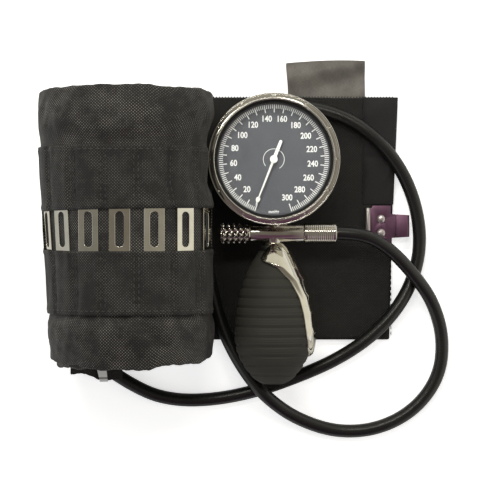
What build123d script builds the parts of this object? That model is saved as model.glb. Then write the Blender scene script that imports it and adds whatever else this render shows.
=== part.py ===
from build123d import *
import math
import os

# One-hand aneroid sphygmomanometer lying on the tail of its rolled cuff. Millimetres.
# X runs along the valve, Y up the dial, Z off the table. X = 0 is the axis of dial and bulb,
# Y = 0 the axis of the valve, Z = 0 the table.

# Clearances
running_fit = 0.05
soft_gap = 0.3

# Cuff: a strip that runs flat as a tail, then rolls up once and a half around the arm space
tail_t = 3.0
roll_t = 4.5
roll_top = 77.6
roll_left_x = -82.0
roll_to_bezel = 0.4
cuff_low_y = -67.0
cuff_high_y = 73.0
tail_low_y = -57.0
tail_step_x = -50.0
tail_end_high_x = 66.0
tail_end_low_x = 63.0
inner_end_gap = 3.0

# Bladder in the pocket of the rolled stretch
pocket_wall = 1.2
bladder_t = 1.6
bladder_gap = 0.25
pocket_margin_y = 7.0
pocket_first_angle = 86.0
bladder_neck_x = -90.0
bladder_neck_w = 10.0

# Closure panel with its stays
panel_t = 1.4
panel_low_y = -40.6
panel_high_y = 43.2
panel_border = 8.0
window_y = 1.7
window_h = 20.8
window_border = 3.0
stay_count = 7
stay_pitch = 17.0
middle_stay_x = -78.0
stay_w = 10.8
stay_t = 0.6
stay_l = 80.0
stay_gap = 0.1
slot_w = 4.0
slot_l = 17.6

# Hook on the tail
hook_t = 1.0
hook_base_x = 53.4
hook_base_low_y = -6.8
hook_base_high_y = 14.9
hook_tongue_x = 63.3
hook_tongue_low_y = -2.5
hook_tongue_high_y = 10.4
hook_end_x = 73.2
hook_gap = 1.2
hook_lip_l = 5.6
hook_bead_r = 1.3
hook_bead_x = 51.0
hook_bead_low_y = 0.7
hook_bead_high_y = 13.6
rivet_x = 58.2
rivet_low_y = 0.2
rivet_high_y = 7.7
rivet_head_r = 2.35
rivet_head_t = 0.9
rivet_shank_r = 1.2
backing_t = 0.8
backing_cover = 0.9

# Hem tape, pull tab, label and outlet flap
hem_x = 48.5
hem_low_y = 15.4
hem_t = 0.6
tab_left_x = 8.3
tab_right_x = 49.6
tab_end_y = 92.9
tab_t = 1.0
tab_z = 1.0
tab_depth = 5.0
label_x = -92.0
label_w = 6.2
label_t = 0.4
label_end_y = -78.9
label_depth = 3.0
flap_left_x = -108.0
flap_right_x = -80.0
flap_end_y = -77.5
flap_t = 1.0
flap_depth = 7.0

# Hose
hose_r = 3.5
hose_bore_r = 2.0
nipple_hold = 7.0
port_hold = 6.0
port_block_w = 11.0
port_block_l = 5.7
port_collar_r = 2.9
port_gap = 0.1

# Bulb
bulb_r = 20.1
bulb_wall = 2.4
bulb_neck_r = 7.5
bulb_neck_y = -9.2
bulb_wide_y = -49.5
bulb_end_y = -79.0
inlet_r = 4.6
inlet_flange_r = 5.4
inlet_flange_t = 1.2
inlet_depth = 8.6
ball_r = 1.5
ball_seat_r = 1.0
screen_t = 0.4
screen_r = 2.4

# Valve
valve_r = 5.0
valve_left_x = -11.7
valve_right_x = 15.7
valve_bore_r = 2.25
valve_seat_x = -3.0
valve_seat_r = 1.0
cross_bore_r = 1.5
vent_r = 0.7
vent_x = -6.6
knob_r = 5.6
knob_l = 16.0
knob_gap = 0.3
needle_hold = 12.0
seal_wire_r = 0.49
seal_x = -9.5
spigot_r = 4.0
spigot_end_y = -16.0
disc_r = 2.0
disc_t = 0.6
disc_seat_r = 1.2
disc_seat_t = 1.6
disc_chamber_r = 2.6
disc_chamber_l = 6.0
nut_r = 5.4
nut_l = 17.0
thread_r = 3.9
thread_l = 4.3
washer_t = 0.5
nipple_flange_t = 1.5
nipple_bore_r = 1.0

# Spoon handle round the bulb
spoon_t = 1.2
spoon_gap = 0.4
spoon_flange_y = -5.4
spoon_neck_r = 6.2
spoon_half_w = 14.2
spoon_tip_short = 14.5
grip_first_y = -23.3
grip_pitch = 9.0
grip_count = 4
grip_rib_r = 0.8
lock_nut_t = 2.2
lock_nut_r = 6.2

# Gauge
gauge_y = 38.0
case_r = 31.9
case_flare = 2.1
cup_wall = 1.6
case_wall = 2.0
case_floor_t = 2.0
case_h = 27.2
case_round = 2.0
bezel_band = 2.1
bezel_lip = 1.5
bezel_h = 7.4
dimple_r = 0.55
dimple_out = 0.4
dimple_count = 12
dimple_pair_turn = 1.3
lens_t = 2.0
lens_gap = 0.3
gasket_t = 0.6
dial_t = 0.8
dial_drop = 3.4
dial_hole_r = 1.6
ledge_t = 1.2
spacer_w = 0.9

# Movement
capsule_r = 17.0
capsule_t = 2.8
capsule_skin = 0.25
stud_r = 3.0
stud_h = 3.0
push_pin_r = 1.5
push_pin_h = 0.8
rocker_over_floor = 7.2
rocker_x = 9.6
rocker_shaft_r = 0.9
rocker_pivot_r = 0.7
rocker_arm_t = 1.0
rocker_arm_w = 1.6
rocker_reach = 6.2
rocker_lug_y = 6.6
base_over_floor = 10.4
base_t = 1.2
base_inset = 6.9
base_w = 18.0
post_inset = 2.5
post_y = 5.5
post_r = 2.2
top_plate_t = 1.0
plate_low_x = -14.5
plate_high_x = 17.5
plate_half_y = 8.0
pillar_edge = 2.5
pillar_y = 5.0
pillar_far_y = 5.6
dial_foot_x = 9.0
plate_space = 6.0
pillar_r = 1.3
screw_r = 0.9
small_screw_r = 0.6
arbor_r = 0.6
gear_module = 0.2
pinion_teeth = 10
sector_teeth = 100
sector_cut_teeth = 13
sector_teeth_past_mesh = 1
sector_t = 0.8
pinion_l = 2.0
sector_pin_r = 0.5
sector_pin_at = 2.0
tooth_share = 0.36
spring_first_r = 1.8
spring_pitch = 0.8
spring_half_turns = 8
spring_t = 0.18
spring_h = 0.5
spring_stud_r = 0.4

# Pointer
pointer_rest_turn = 201.5
pointer_tip_r = 25.9
pointer_spade_r = 21.5
pointer_tail_r = 10.5
pointer_tail_w = 1.7
pointer_hub_r = 2.0
pointer_t = 0.4

# Heights that follow from the sizes above
flap_hose_z = tail_t + hose_r + 0.4
case_low = flap_hose_z + hose_r + 0.4
floor_z = case_low + case_floor_t
case_top = case_low + case_h
lens_low = case_top + gasket_t
lens_top = lens_low + lens_t
bezel_top = case_top + 4.0
dial_low = case_top - dial_drop
dial_top = dial_low + dial_t
capsule_low = floor_z + stud_h
capsule_top = capsule_low + capsule_t
push_pin_top = capsule_top + push_pin_h
rocker_z = floor_z + rocker_over_floor
base_low = floor_z + base_over_floor
base_top = base_low + base_t
top_plate_low = base_top + plate_space
top_plate_top = top_plate_low + top_plate_t
sector_low = base_top + 2.2
pointer_low = dial_top + 1.4
valve_z = tail_t + soft_gap + bulb_r
panel_gap = running_fit

# Radii of the gauge's housing
cup_r = case_r - case_flare
bezel_r = case_r + bezel_band
bezel_lip_r = case_r - bezel_lip
dimple_at_r = case_r + dimple_out

# Radii and centres of the roll, outside face of the strip
left_r = roll_top / 2
lifted_z = tail_t + soft_gap
right_r = (roll_top - lifted_z) / 2
right_z = lifted_z + right_r
roll_right_x = -bezel_r - roll_to_bezel - right_r
inner_left_r = left_r - tail_t - soft_gap
inner_top_z = roll_top - tail_t - soft_gap
inner_end_x = roll_right_x - inner_end_gap

# Base plate of the movement
base_l = 2 * (case_r - base_inset)
post_x = base_l / 2 - post_inset

# Spoon handle
spoon_tip_y = bulb_end_y + spoon_tip_short
grip_ribs_y = [grip_first_y - grip_pitch * number for number in range(grip_count)]

# Gear sizes
pinion_r = gear_module * pinion_teeth / 2
sector_r = gear_module * sector_teeth / 2
gear_centres = pinion_r + sector_r


def rod(radius, start, end):
    """Round bar between two points."""
    start, end = Vector(*start), Vector(*end)
    return Solid.make_cylinder(radius, (end - start).length, Plane(origin=start, z_dir=end - start))


def ring(outer, inner, start, end):
    """Round bar with a bore right through it."""
    return rod(outer, start, end) - rod(inner, start, end)


def block(low, high):
    """Box between two corners."""
    size = [b - a for a, b in zip(low, high)]
    middle = [(a + b) / 2 for a, b in zip(low, high)]
    return Pos(*middle) * Box(*size)


def lathe_z(points):
    """Turned piece about Z from (radius, z) points."""
    return revolve(Face(Wire.make_polygon([(r, 0, z) for r, z in points])), Axis.Z)


def outline(*runs):
    """Face from runs of 3D points: two points make a line, three an arc."""
    edges = []
    for run in runs:
        edges.append(Edge.make_line(*run) if len(run) == 2 else Edge.make_three_point_arc(*run))
    return Face(Wire(edges))


def group(solids):
    """Several separate solids in one node."""
    return Compound(children=list(solids))


def at_gauge(shape, x=0.0, y=0.0):
    """Move a piece modelled on the Z axis to its place in the gauge."""
    return Pos(x, gauge_y + y, 0) * shape


def quarter_arc(x, z, radius, start, end):
    """Start, middle and end of an arc in the XZ plane, by angle from +X."""
    angles = (start, (start + end) / 2, end)
    return [(x + radius * math.cos(math.radians(a)), 0, z + radius * math.sin(math.radians(a)))
            for a in angles]


# Cuff

def roll_band(outer, inner, y_low, y_high, end_x=inner_end_x, first_angle=90.0):
    """Stretch of the strip that lies in the roll, between two depths under its outer face."""
    def side(depth):
        lower_z = lifted_z + depth
        top_z = inner_top_z - depth
        return (quarter_arc(roll_right_x, right_z, right_r - depth, first_angle, -90),
                [(roll_right_x, 0, lower_z), (roll_left_x, 0, lower_z)],
                quarter_arc(roll_left_x, left_r, inner_left_r - depth, 270, 90),
                [(roll_left_x, 0, top_z), (end_x, 0, top_z)])
    out, back = side(outer), side(inner)
    face = outline(*out, (out[3][1], back[3][1]), *[run[::-1] for run in back[::-1]],
                   (back[0][0], out[0][0]))
    return extrude(Pos(0, y_low, 0) * face, y_high - y_low, dir=(0, 1, 0))


def tail_band():
    """Tail, left arc and top: the outer turn of the strip."""
    outer = ([(tail_end_high_x, 0, 0), (roll_left_x, 0, 0)],
             quarter_arc(roll_left_x, left_r, left_r, 270, 90),
             [(roll_left_x, 0, roll_top), (roll_right_x, 0, roll_top)])
    inner = ([(tail_end_high_x, 0, tail_t), (roll_left_x, 0, tail_t)],
             quarter_arc(roll_left_x, left_r, left_r - tail_t, 270, 90),
             [(roll_left_x, 0, roll_top - tail_t), (roll_right_x, 0, roll_top - tail_t)])
    face = outline(*outer, (outer[2][1], inner[2][1]), *[run[::-1] for run in inner[::-1]],
                   (inner[0][0], outer[0][0]))
    return extrude(Pos(0, cuff_low_y, 0) * face, cuff_high_y - cuff_low_y, dir=(0, 1, 0))


def cuff_sleeve():
    sleeve = tail_band() + roll_band(0, roll_t, cuff_low_y, cuff_high_y)
    far = tail_end_high_x + 10
    sleeve -= block((tail_step_x, cuff_low_y - 1, -1), (far, tail_low_y, tail_t + soft_gap / 2))
    slant = Face(Wire.make_polygon([(tail_end_high_x, cuff_high_y, -1), (far, cuff_high_y, -1),
                                    (far, tail_low_y, -1), (tail_end_low_x, tail_low_y, -1)]))
    sleeve -= extrude(slant, tail_t + 2, dir=(0, 0, 1))
    sleeve -= roll_band(pocket_wall, roll_t - pocket_wall, cuff_low_y + pocket_margin_y,
                        cuff_high_y - pocket_margin_y, inner_end_x + 1, pocket_first_angle)
    sleeve -= bladder_neck(bladder_gap, cuff_low_y - 1)
    sleeve -= hook_backing(bladder_gap / 2)
    for y in (rivet_low_y, rivet_high_y):
        sleeve -= rod(rivet_shank_r + running_fit, (rivet_x, y, backing_cover), (rivet_x, y, tail_t + 1))
    sleeve -= pull_tab(running_fit)
    return sleeve


def bladder_neck(gap, end_y):
    """Flat neck of the bladder through the lower edge of the pocket."""
    middle_z = lifted_z + roll_t / 2
    half_t = bladder_t / 2 + gap
    half_w = bladder_neck_w / 2 + gap
    return block((bladder_neck_x - half_w, end_y, middle_z - half_t),
                 (bladder_neck_x + half_w, cuff_low_y + pocket_margin_y + 2, middle_z + half_t))


def bladder():
    depth = pocket_wall + bladder_gap
    sheet = roll_band(depth, depth + bladder_t, cuff_low_y + pocket_margin_y + bladder_gap,
                      cuff_high_y - pocket_margin_y - bladder_gap, inner_end_x - bladder_gap,
                      pocket_first_angle - math.degrees(bladder_gap / (right_r - roll_t)))
    return sheet + bladder_neck(0, cuff_low_y - soft_gap)


def stay_frame(number):
    """Place and tilt of one stay: the frame's X runs along the strip, its Z out of the roll."""
    along = middle_stay_x - roll_left_x + (number - (stay_count - 1) / 2) * stay_pitch
    straight = roll_right_x - roll_left_x
    lift = panel_gap + stay_gap
    if along < 0:
        turn = -math.degrees(along / (left_r + lift))
        centre, radius, angle = (roll_left_x, left_r), left_r + lift, 90 + turn
    elif along > straight:
        turn = math.degrees((along - straight) / (right_r + lift))
        centre, radius, angle = (roll_right_x, right_z), right_r + lift, 90 - turn
    else:
        return Pos(roll_left_x + along, window_y, roll_top + lift)
    x = centre[0] + radius * math.cos(math.radians(angle))
    z = centre[1] + radius * math.sin(math.radians(angle))
    return Pos(x, window_y, z) * Rot(0, 90 - angle, 0)


def stay_blank(gap, height):
    """Outline of one stay, grown by a gap, standing on its inner face."""
    offset_y = (panel_low_y + panel_high_y) / 2 - window_y
    blank = RectangleRounded(stay_w + 2 * gap, stay_l + 2 * gap, stay_w / 3)
    return extrude(Pos(0, offset_y, -gap) * blank, height + 2 * gap)


def closure_stays():
    slot = extrude(Rot(0, 0, 90) * SlotOverall(slot_l, slot_w), stay_t * 3, both=True)
    plate = stay_blank(0, stay_t) - slot
    return group(stay_frame(number) * plate for number in range(stay_count))


def panel_arc(radius_offset, start_along, end_along):
    """Runs of the panel's face at a height over the strip, left to right."""
    straight = roll_right_x - roll_left_x
    first = 90 - math.degrees(start_along / left_r)
    last = 90 - math.degrees((end_along - straight) / right_r)
    return (quarter_arc(roll_left_x, left_r, left_r + radius_offset, first, 90),
            [(roll_left_x, 0, roll_top + radius_offset), (roll_right_x, 0, roll_top + radius_offset)],
            quarter_arc(roll_right_x, right_z, right_r + radius_offset, 90, last))


def panel_band(low, high, border, y_low, y_high):
    """Closure panel's curved sheet between two heights over the strip."""
    half = (stay_count - 1) / 2 * stay_pitch + border
    middle = middle_stay_x - roll_left_x
    outer = panel_arc(high, middle - half, middle + half)
    inner = panel_arc(low, middle - half, middle + half)
    face = outline(*outer, (outer[2][2], inner[2][2]), *[run[::-1] for run in inner[::-1]],
                   (inner[0][0], outer[0][0]))
    return extrude(Pos(0, y_low, 0) * face, y_high - y_low, dir=(0, 1, 0))


def stay_panel():
    panel = panel_band(panel_gap, panel_gap + panel_t, panel_border, panel_low_y, panel_high_y)
    panel -= panel_band(-1, panel_t + 2, panel_border - window_border,
                        window_y - window_h / 2, window_y + window_h / 2)
    for number in range(stay_count):
        panel -= stay_frame(number) * stay_blank(stay_gap, stay_t)
    return panel


def hook_backing(gap):
    return block((hook_base_x + 1 - gap, hook_base_low_y + 1 - gap, backing_cover - gap),
                 (hook_tongue_x - 2 + gap, hook_base_high_y - 1 + gap, backing_cover + backing_t + gap))


def hook_backing_plate():
    plate = hook_backing(0)
    for y in (rivet_low_y, rivet_high_y):
        plate -= rod(rivet_shank_r + running_fit, (rivet_x, y, 0), (rivet_x, y, tail_t))
    return plate


def hook_plate():
    """Base riveted on the tail, a tongue past its end folded back over itself, a rolled bead."""
    low, top = tail_t, tail_t + hook_t
    base = block((hook_base_x, hook_base_low_y, low), (hook_tongue_x, hook_base_high_y, top))
    fold_r = hook_gap / 2 + hook_t
    fold_x = hook_end_x - fold_r
    lip_low = top + hook_gap
    tongue_face = outline(
        [(hook_tongue_x, 0, low), (fold_x, 0, low)],
        quarter_arc(fold_x, low + fold_r, fold_r, -90, 90),
        [(fold_x, 0, lip_low + hook_t), (fold_x - hook_lip_l, 0, lip_low + hook_t)],
        [(fold_x - hook_lip_l, 0, lip_low + hook_t), (fold_x - hook_lip_l, 0, lip_low)],
        [(fold_x - hook_lip_l, 0, lip_low), (fold_x, 0, lip_low)],
        quarter_arc(fold_x, low + fold_r, hook_gap / 2, 90, -90),
        [(fold_x, 0, top), (hook_tongue_x, 0, top)],
        [(hook_tongue_x, 0, top), (hook_tongue_x, 0, low)])
    tongue = extrude(Pos(0, hook_tongue_low_y, 0) * tongue_face,
                     hook_tongue_high_y - hook_tongue_low_y, dir=(0, 1, 0))
    web = block((hook_bead_x, hook_bead_low_y, low), (hook_base_x, hook_bead_high_y, top))
    bead_z = low + hook_bead_r
    bead = rod(hook_bead_r, (hook_bead_x, hook_bead_low_y, bead_z), (hook_bead_x, hook_bead_high_y, bead_z))
    plate = base + tongue + web + bead
    for y in (rivet_low_y, rivet_high_y):
        plate -= rod(rivet_shank_r + running_fit, (rivet_x, y, low - 1), (rivet_x, y, top + 1))
    return plate


def hook_rivets():
    top = tail_t + hook_t
    rivets = []
    for y in (rivet_low_y, rivet_high_y):
        head = rod(rivet_head_r, (rivet_x, y, top), (rivet_x, y, top + rivet_head_t))
        head = fillet(head.edges().group_by(Axis.Z)[-1], rivet_head_t * 0.6)
        rivets.append(head + rod(rivet_shank_r, (rivet_x, y, backing_cover), (rivet_x, y, top)))
    return group(rivets)


def tail_hem():
    """Tape sewn over the end of the tail, above the hook."""
    slope = (tail_end_high_x - tail_end_low_x) / (cuff_high_y - tail_low_y)
    low_end_x = tail_end_high_x - slope * (cuff_high_y - hem_low_y)
    face = Face(Wire.make_polygon([(hem_x, hem_low_y, tail_t), (low_end_x, hem_low_y, tail_t),
                                   (tail_end_high_x, cuff_high_y, tail_t), (hem_x, cuff_high_y, tail_t)]))
    return extrude(face, hem_t, dir=(0, 0, 1))


def pull_tab(gap=0.0):
    low = (tab_left_x - gap, cuff_high_y - tab_depth - gap, tab_z - gap)
    return block(low, (tab_right_x + gap, tab_end_y, tab_z + tab_t + gap))


def inner_sheet(depth, thickness, left_x, right_x, end_y, sewn):
    """Cloth that follows the inside of the roll and sticks out past its lower edge."""
    sheet = roll_band(depth, depth + thickness, end_y, cuff_low_y + sewn)
    return sheet & block((left_x, end_y, 0), (right_x, cuff_low_y + sewn, left_r))


def outlet_flap():
    return inner_sheet(roll_t + running_fit, flap_t, flap_left_x, flap_right_x, flap_end_y, flap_depth)


def care_label():
    depth = roll_t + flap_t + 2 * running_fit
    return inner_sheet(depth, label_t, label_x - label_w / 2, label_x + label_w / 2, label_end_y, label_depth)


# Hose

port_z = lifted_z + roll_t + running_fit - hose_r - port_gap
table_z = hose_r + 0.1
hem_hose_z = flap_hose_z + hem_t
over_z = 3 * hose_r + 0.8

hose_route = [
    (33.3, 0, valve_z), (47.5, 0, valve_z), (62, -8.5, 18.0), (74.5, -21.5, over_z + 0.9),
    (85.5, -36, 6.0), (91.5, -55.5, table_z), (89.5, -76.5, table_z + 0.05), (76.5, -94.5, table_z),
    (56.5, -105, table_z + 0.05), (34, -106.5, table_z), (12.5, -99, 6.0), (-3.0, -87.5, over_z + 0.1),
    (-12.5, -76.5, over_z - 0.3), (-20.5, -64, 8.6), (-27, -50, 7.3), (-32.5, -31, flap_hose_z),
    (-37, -10, flap_hose_z + 0.05), (-37.5, 11.5, flap_hose_z), (-33.5, 31.5, flap_hose_z + 0.05),
    (-24.5, 48, flap_hose_z), (-10.5, 60.3, flap_hose_z + 0.05), (6, 67.8, flap_hose_z),
    (26, 66.6, flap_hose_z + 0.1), (45, 59.0, hem_hose_z), (60, 46, hem_hose_z + 0.1),
    (70.8, 30.5, 6.2), (77.8, 11.5, table_z), (79.3, -8, table_z + 0.05), (74.5, -27, 3.9),
    (64.5, -43, 7.3), (51, -56.5, 6.8), (33.5, -68, 4.2), (14, -76.5, table_z), (-7, -84.0, table_z + 0.05),
    (-29, -88.8, table_z), (-51, -89.6, table_z + 0.05), (-70, -84.6, 4.4)]
port_turn = 146.5
port_run = 18.0


def hose_points():
    """Route of the hose, ended by a last run square to the port."""
    last = Vector(*hose_route[-1])
    step = Vector(math.cos(math.radians(port_turn)), math.sin(math.radians(port_turn)), 0) * port_run
    turn_in = Vector(last.X, last.Y, port_z)
    return [Vector(*p) for p in hose_route[:-1]] + [turn_in, turn_in + step]


def hose_path():
    points = hose_points()
    radii = []
    for before, here, after in zip(points, points[1:], points[2:]):
        turn = math.radians((here - before).get_angle(after - here))
        shorter = min((here - before).length, (after - here).length)
        radii.append(0.45 * shorter / math.tan(turn / 2))
    print("hose bend radii", [round(r) for r in radii])
    return FilletPolyline(*points, radius=radii)


def hose():
    path = hose_path()
    start = path.location_at(0).position
    section = Plane(origin=start, z_dir=path.tangent_at(0))
    tube = sweep(section * (Circle(hose_r) - Circle(hose_bore_r)), path)
    expected = math.pi * (hose_r ** 2 - hose_bore_r ** 2) * path.length
    print("hose length", round(path.length, 1), "volume over section times length",
          round(tube.volume / expected, 4))
    return tube


def bladder_port():
    """Moulded block on the bladder's neck with a stub that the hose is pushed over."""
    end = hose_points()[-1]
    inward = Vector(math.cos(math.radians(port_turn)), math.sin(math.radians(port_turn)), 0)
    face_y = cuff_low_y - soft_gap
    body = block((bladder_neck_x - port_block_w / 2, face_y - port_block_l, port_z - port_collar_r),
                 (bladder_neck_x + port_block_w / 2, face_y, port_z + port_collar_r))
    collar = rod(port_collar_r, tuple(end), tuple(end + inward * port_block_l))
    stub = rod(hose_bore_r - running_fit, tuple(end - inward * port_hold), tuple(end))
    bore = rod(nipple_bore_r, tuple(end - inward * (port_hold + 1)), tuple(end + inward * port_block_l))
    return body + collar + stub - bore


# Valve

nut_start_x = valve_right_x + knob_gap
washer_x = valve_right_x + thread_l
flange_x = washer_x + washer_t
flange_end_x = flange_x + nipple_flange_t
hose_start_x = nut_start_x + nut_l + soft_gap
nut_shoulder_x = flange_end_x + running_fit


def on_valve(x):
    return (x, 0, valve_z)


def valve_body():
    axis_y = (0, 0, valve_z)
    body = rod(valve_r, on_valve(valve_left_x), on_valve(valve_right_x))
    body += rod(thread_r, on_valve(valve_right_x), on_valve(washer_x))
    boss_end = gauge_y - cup_r + 1
    body += rod(spigot_r + 0.2, axis_y, (0, boss_end, valve_z))
    body -= at_gauge(rod(cup_r + running_fit / 2, (0, 0, case_low - 5), (0, 0, case_top)))
    body += rod(spigot_r + 0.6, axis_y, (0, spoon_flange_y, valve_z))
    body += rod(spigot_r, axis_y, (0, spigot_end_y, valve_z))
    body -= rod(valve_bore_r, on_valve(valve_left_x), on_valve(valve_seat_x))
    body -= rod(valve_seat_r, on_valve(valve_seat_x), on_valve(0))
    body -= rod(cross_bore_r, on_valve(0), on_valve(washer_x))
    body -= rod(cross_bore_r, (0, spigot_end_y, valve_z), (0, boss_end, valve_z))
    body -= rod(inlet_stem_r + running_fit, (0, stem_start_y, valve_z), (0, boss_end, valve_z))
    body -= rod(disc_chamber_r, (0, spigot_end_y, valve_z), (0, spigot_end_y + disc_chamber_l, valve_z))
    body -= rod(vent_r, (vent_x, 0, valve_z - valve_r), (vent_x, 0, valve_z))
    groove = seal_wire_r + running_fit
    seal_r = valve_bore_r + seal_wire_r
    body -= rod(seal_r + groove, on_valve(seal_x - groove), on_valve(seal_x + groove))
    return body


inlet_stem_r = 2.4
stem_start_y = 3.0
stem_flange_r = 4.4
stem_pad_y = gauge_y - cup_r + cup_wall + 1.1


def gauge_inlet_stem():
    """Hollow stem that holds the gauge to the valve and lets the air in."""
    stem = rod(inlet_stem_r, (0, stem_start_y, valve_z), (0, stem_pad_y, valve_z))
    stem += rod(stem_flange_r, (0, stem_pad_y, valve_z), (0, stem_pad_y + 1.2, valve_z))
    stem += rod(inlet_stem_r, (0, stem_pad_y + 1.2, valve_z), (0, stem_pad_y + 2.0, valve_z))
    return stem - rod(nipple_bore_r, (0, stem_start_y, valve_z), (0, stem_pad_y + 2.0, valve_z))


def release_knob():
    end = valve_left_x - knob_gap
    knob = rod(knob_r, on_valve(end - knob_l), on_valve(end))
    knob = chamfer(knob.edges().filter_by(GeomType.CIRCLE), 0.6)
    knob -= rod(valve_bore_r, on_valve(end - needle_hold), on_valve(end))
    return knob


def valve_needle():
    """Stem held in the knob, with a cone and a pintle that close the seat."""
    tip_r = valve_seat_r - running_fit
    cone_x = valve_seat_x - 2.0
    stem = rod(valve_bore_r - running_fit, on_valve(valve_left_x - knob_gap - needle_hold + running_fit),
               on_valve(cone_x))
    cone = Solid.make_cone(valve_bore_r - running_fit, tip_r, valve_seat_x - cone_x,
                           Plane(origin=on_valve(cone_x), z_dir=(1, 0, 0)))
    return stem + cone + rod(tip_r, on_valve(valve_seat_x), on_valve(valve_seat_x + 1.2))


def needle_seal():
    seal_r = valve_bore_r + seal_wire_r
    return Pos(seal_x, 0, valve_z) * Rot(0, 90, 0) * Torus(seal_r, seal_wire_r)


def outlet_valve_seat():
    start = spigot_end_y
    return ring(disc_chamber_r - running_fit, disc_seat_r, (0, start, valve_z),
                (0, start + disc_seat_t, valve_z))


def outlet_valve_disc():
    start = spigot_end_y + disc_seat_t + running_fit
    return rod(disc_r, (0, start, valve_z), (0, start + disc_t, valve_z))


def coupling_nut():
    end = nut_start_x + nut_l
    nut = rod(nut_r, on_valve(nut_start_x), on_valve(end))
    nut = chamfer(nut.edges().filter_by(GeomType.CIRCLE), 0.5)
    nut -= rod(thread_r + running_fit, on_valve(nut_start_x), on_valve(nut_shoulder_x))
    return nut - rod(hose_bore_r, on_valve(nut_start_x), on_valve(end))


def nipple_washer():
    return ring(thread_r, cross_bore_r, on_valve(washer_x), on_valve(flange_x))


def hose_nipple():
    nipple = rod(thread_r, on_valve(flange_x), on_valve(flange_end_x))
    nipple += rod(hose_bore_r - running_fit, on_valve(flange_end_x), on_valve(hose_start_x + nipple_hold))
    return nipple - rod(nipple_bore_r, on_valve(flange_x), on_valve(hose_start_x + nipple_hold))


# Bulb and spoon

def bulb_y(share):
    """Place along the bulb: 0 at its neck, 1 where it is widest, 2 at its far end."""
    if share <= 1:
        return bulb_neck_y + share * (bulb_wide_y - bulb_neck_y)
    return bulb_wide_y + (share - 1) * (bulb_end_y - bulb_wide_y)


bulb_curve = ((bulb_neck_r, bulb_neck_y), (bulb_r * 0.796, bulb_y(0.422)), (bulb_r, bulb_wide_y))
bulb_shoulder = ((bulb_r, bulb_wide_y), (bulb_r * 0.93, bulb_y(1.458)), (bulb_r * 0.687, bulb_y(1.763)))
bulb_cap = (bulb_shoulder[2], (bulb_r * 0.478, bulb_y(1.912)), (inlet_r + running_fit, bulb_end_y))


def circle_through(a, b, c):
    """Centre and radius of the circle through three points."""
    ax, ay, bx, by, cx, cy = *a, *b, *c
    d = 2 * (ax * (by - cy) + bx * (cy - ay) + cx * (ay - by))
    sa, sb, sc = ax * ax + ay * ay, bx * bx + by * by, cx * cx + cy * cy
    x = (sa * (by - cy) + sb * (cy - ay) + sc * (ay - by)) / d
    y = (sa * (cx - bx) + sb * (ax - cx) + sc * (bx - ax)) / d
    return x, y, math.hypot(ax - x, ay - y)


def bulb_radius(y):
    """Outer radius of the bulb at a place along its axis."""
    curve = bulb_curve if y > bulb_wide_y else bulb_shoulder if y > bulb_shoulder[2][1] else bulb_cap
    x0, y0, r0 = circle_through(*curve)
    return x0 + math.sqrt(r0 ** 2 - (y - y0) ** 2)


def lathe_bulb(*runs):
    """Turned piece about the bulb's axis from runs of (radius, y) points."""
    face = outline(*[[(r, y, 0) for r, y in run] for run in runs])
    return Pos(0, 0, valve_z) * revolve(face, Axis.Y)


def bulb():
    bore = spigot_r + running_fit
    hole = inlet_r + running_fit
    outside = lathe_bulb([(bore, bulb_neck_y), (bulb_neck_r, bulb_neck_y)], bulb_curve, bulb_shoulder,
                         bulb_cap, [(hole, bulb_end_y), (hole, bulb_end_y + 2 * bulb_wall)],
                         [(hole, bulb_end_y + 2 * bulb_wall), (bore, bulb_neck_y)])
    stations = (spigot_end_y - bulb_wall, bulb_y(0.54), bulb_wide_y)
    rear = (bulb_wide_y, bulb_y(1.407), bulb_end_y + 3.6 * bulb_wall)
    front_arc = [(bulb_radius(y) - bulb_wall * 1.15, y) for y in stations]
    rear_arc = [(bulb_radius(y) - bulb_wall * 1.15, y) for y in rear]
    hollow = lathe_bulb([(0, stations[0]), front_arc[0]], front_arc, rear_arc,
                        [rear_arc[2], (0, rear[2])], [(0, rear[2]), (0, stations[0])])
    core = rod(bore, (0, bulb_neck_y + 1, valve_z), (0, stations[0] - 1, valve_z))
    back = rod(hole, (0, bulb_end_y - 1, valve_z), (0, rear[2] + 1, valve_z))
    full = lathe_bulb([(0, bulb_neck_y), (bulb_neck_r, bulb_neck_y)], bulb_curve, bulb_shoulder,
                      bulb_cap, [(hole, bulb_end_y), (0, bulb_end_y)], [(0, bulb_end_y), (0, bulb_neck_y)])
    return (outside + full) - hollow - core - back


def inlet_valve_body():
    """Plug in the end of the bulb with the chamber of the inlet ball."""
    inner_y = bulb_end_y + inlet_depth
    outer_y = bulb_end_y - inlet_flange_t
    plug = rod(inlet_r, (0, bulb_end_y, valve_z), (0, inner_y, valve_z))
    plug += rod(inlet_flange_r, (0, outer_y, valve_z), (0, bulb_end_y, valve_z))
    plug -= rod(ball_seat_r, (0, outer_y, valve_z), (0, inner_y, valve_z))
    plug -= rod(ball_r + 0.3, (0, ball_seat_y, valve_z), (0, inner_y - 0.8, valve_z))
    plug -= rod(screen_r + running_fit, (0, outer_y, valve_z), (0, outer_y + screen_t, valve_z))
    return plug


ball_seat_y = bulb_end_y + 4.4
ball_y = ball_seat_y + math.sqrt(ball_r ** 2 - ball_seat_r ** 2) + running_fit


def inlet_valve_ball():
    return Pos(0, ball_y, valve_z) * Sphere(ball_r)


def inlet_valve_screen():
    outer_y = bulb_end_y - inlet_flange_t
    screen = rod(screen_r, (0, outer_y, valve_z), (0, outer_y + screen_t, valve_z))
    for number in range(6):
        angle = math.radians(60 * number)
        x, z = screen_r * 0.55 * math.cos(angle), valve_z + screen_r * 0.55 * math.sin(angle)
        screen -= rod(0.3, (x, outer_y - 1, z), (x, outer_y + 1, z))
    return screen


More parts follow.
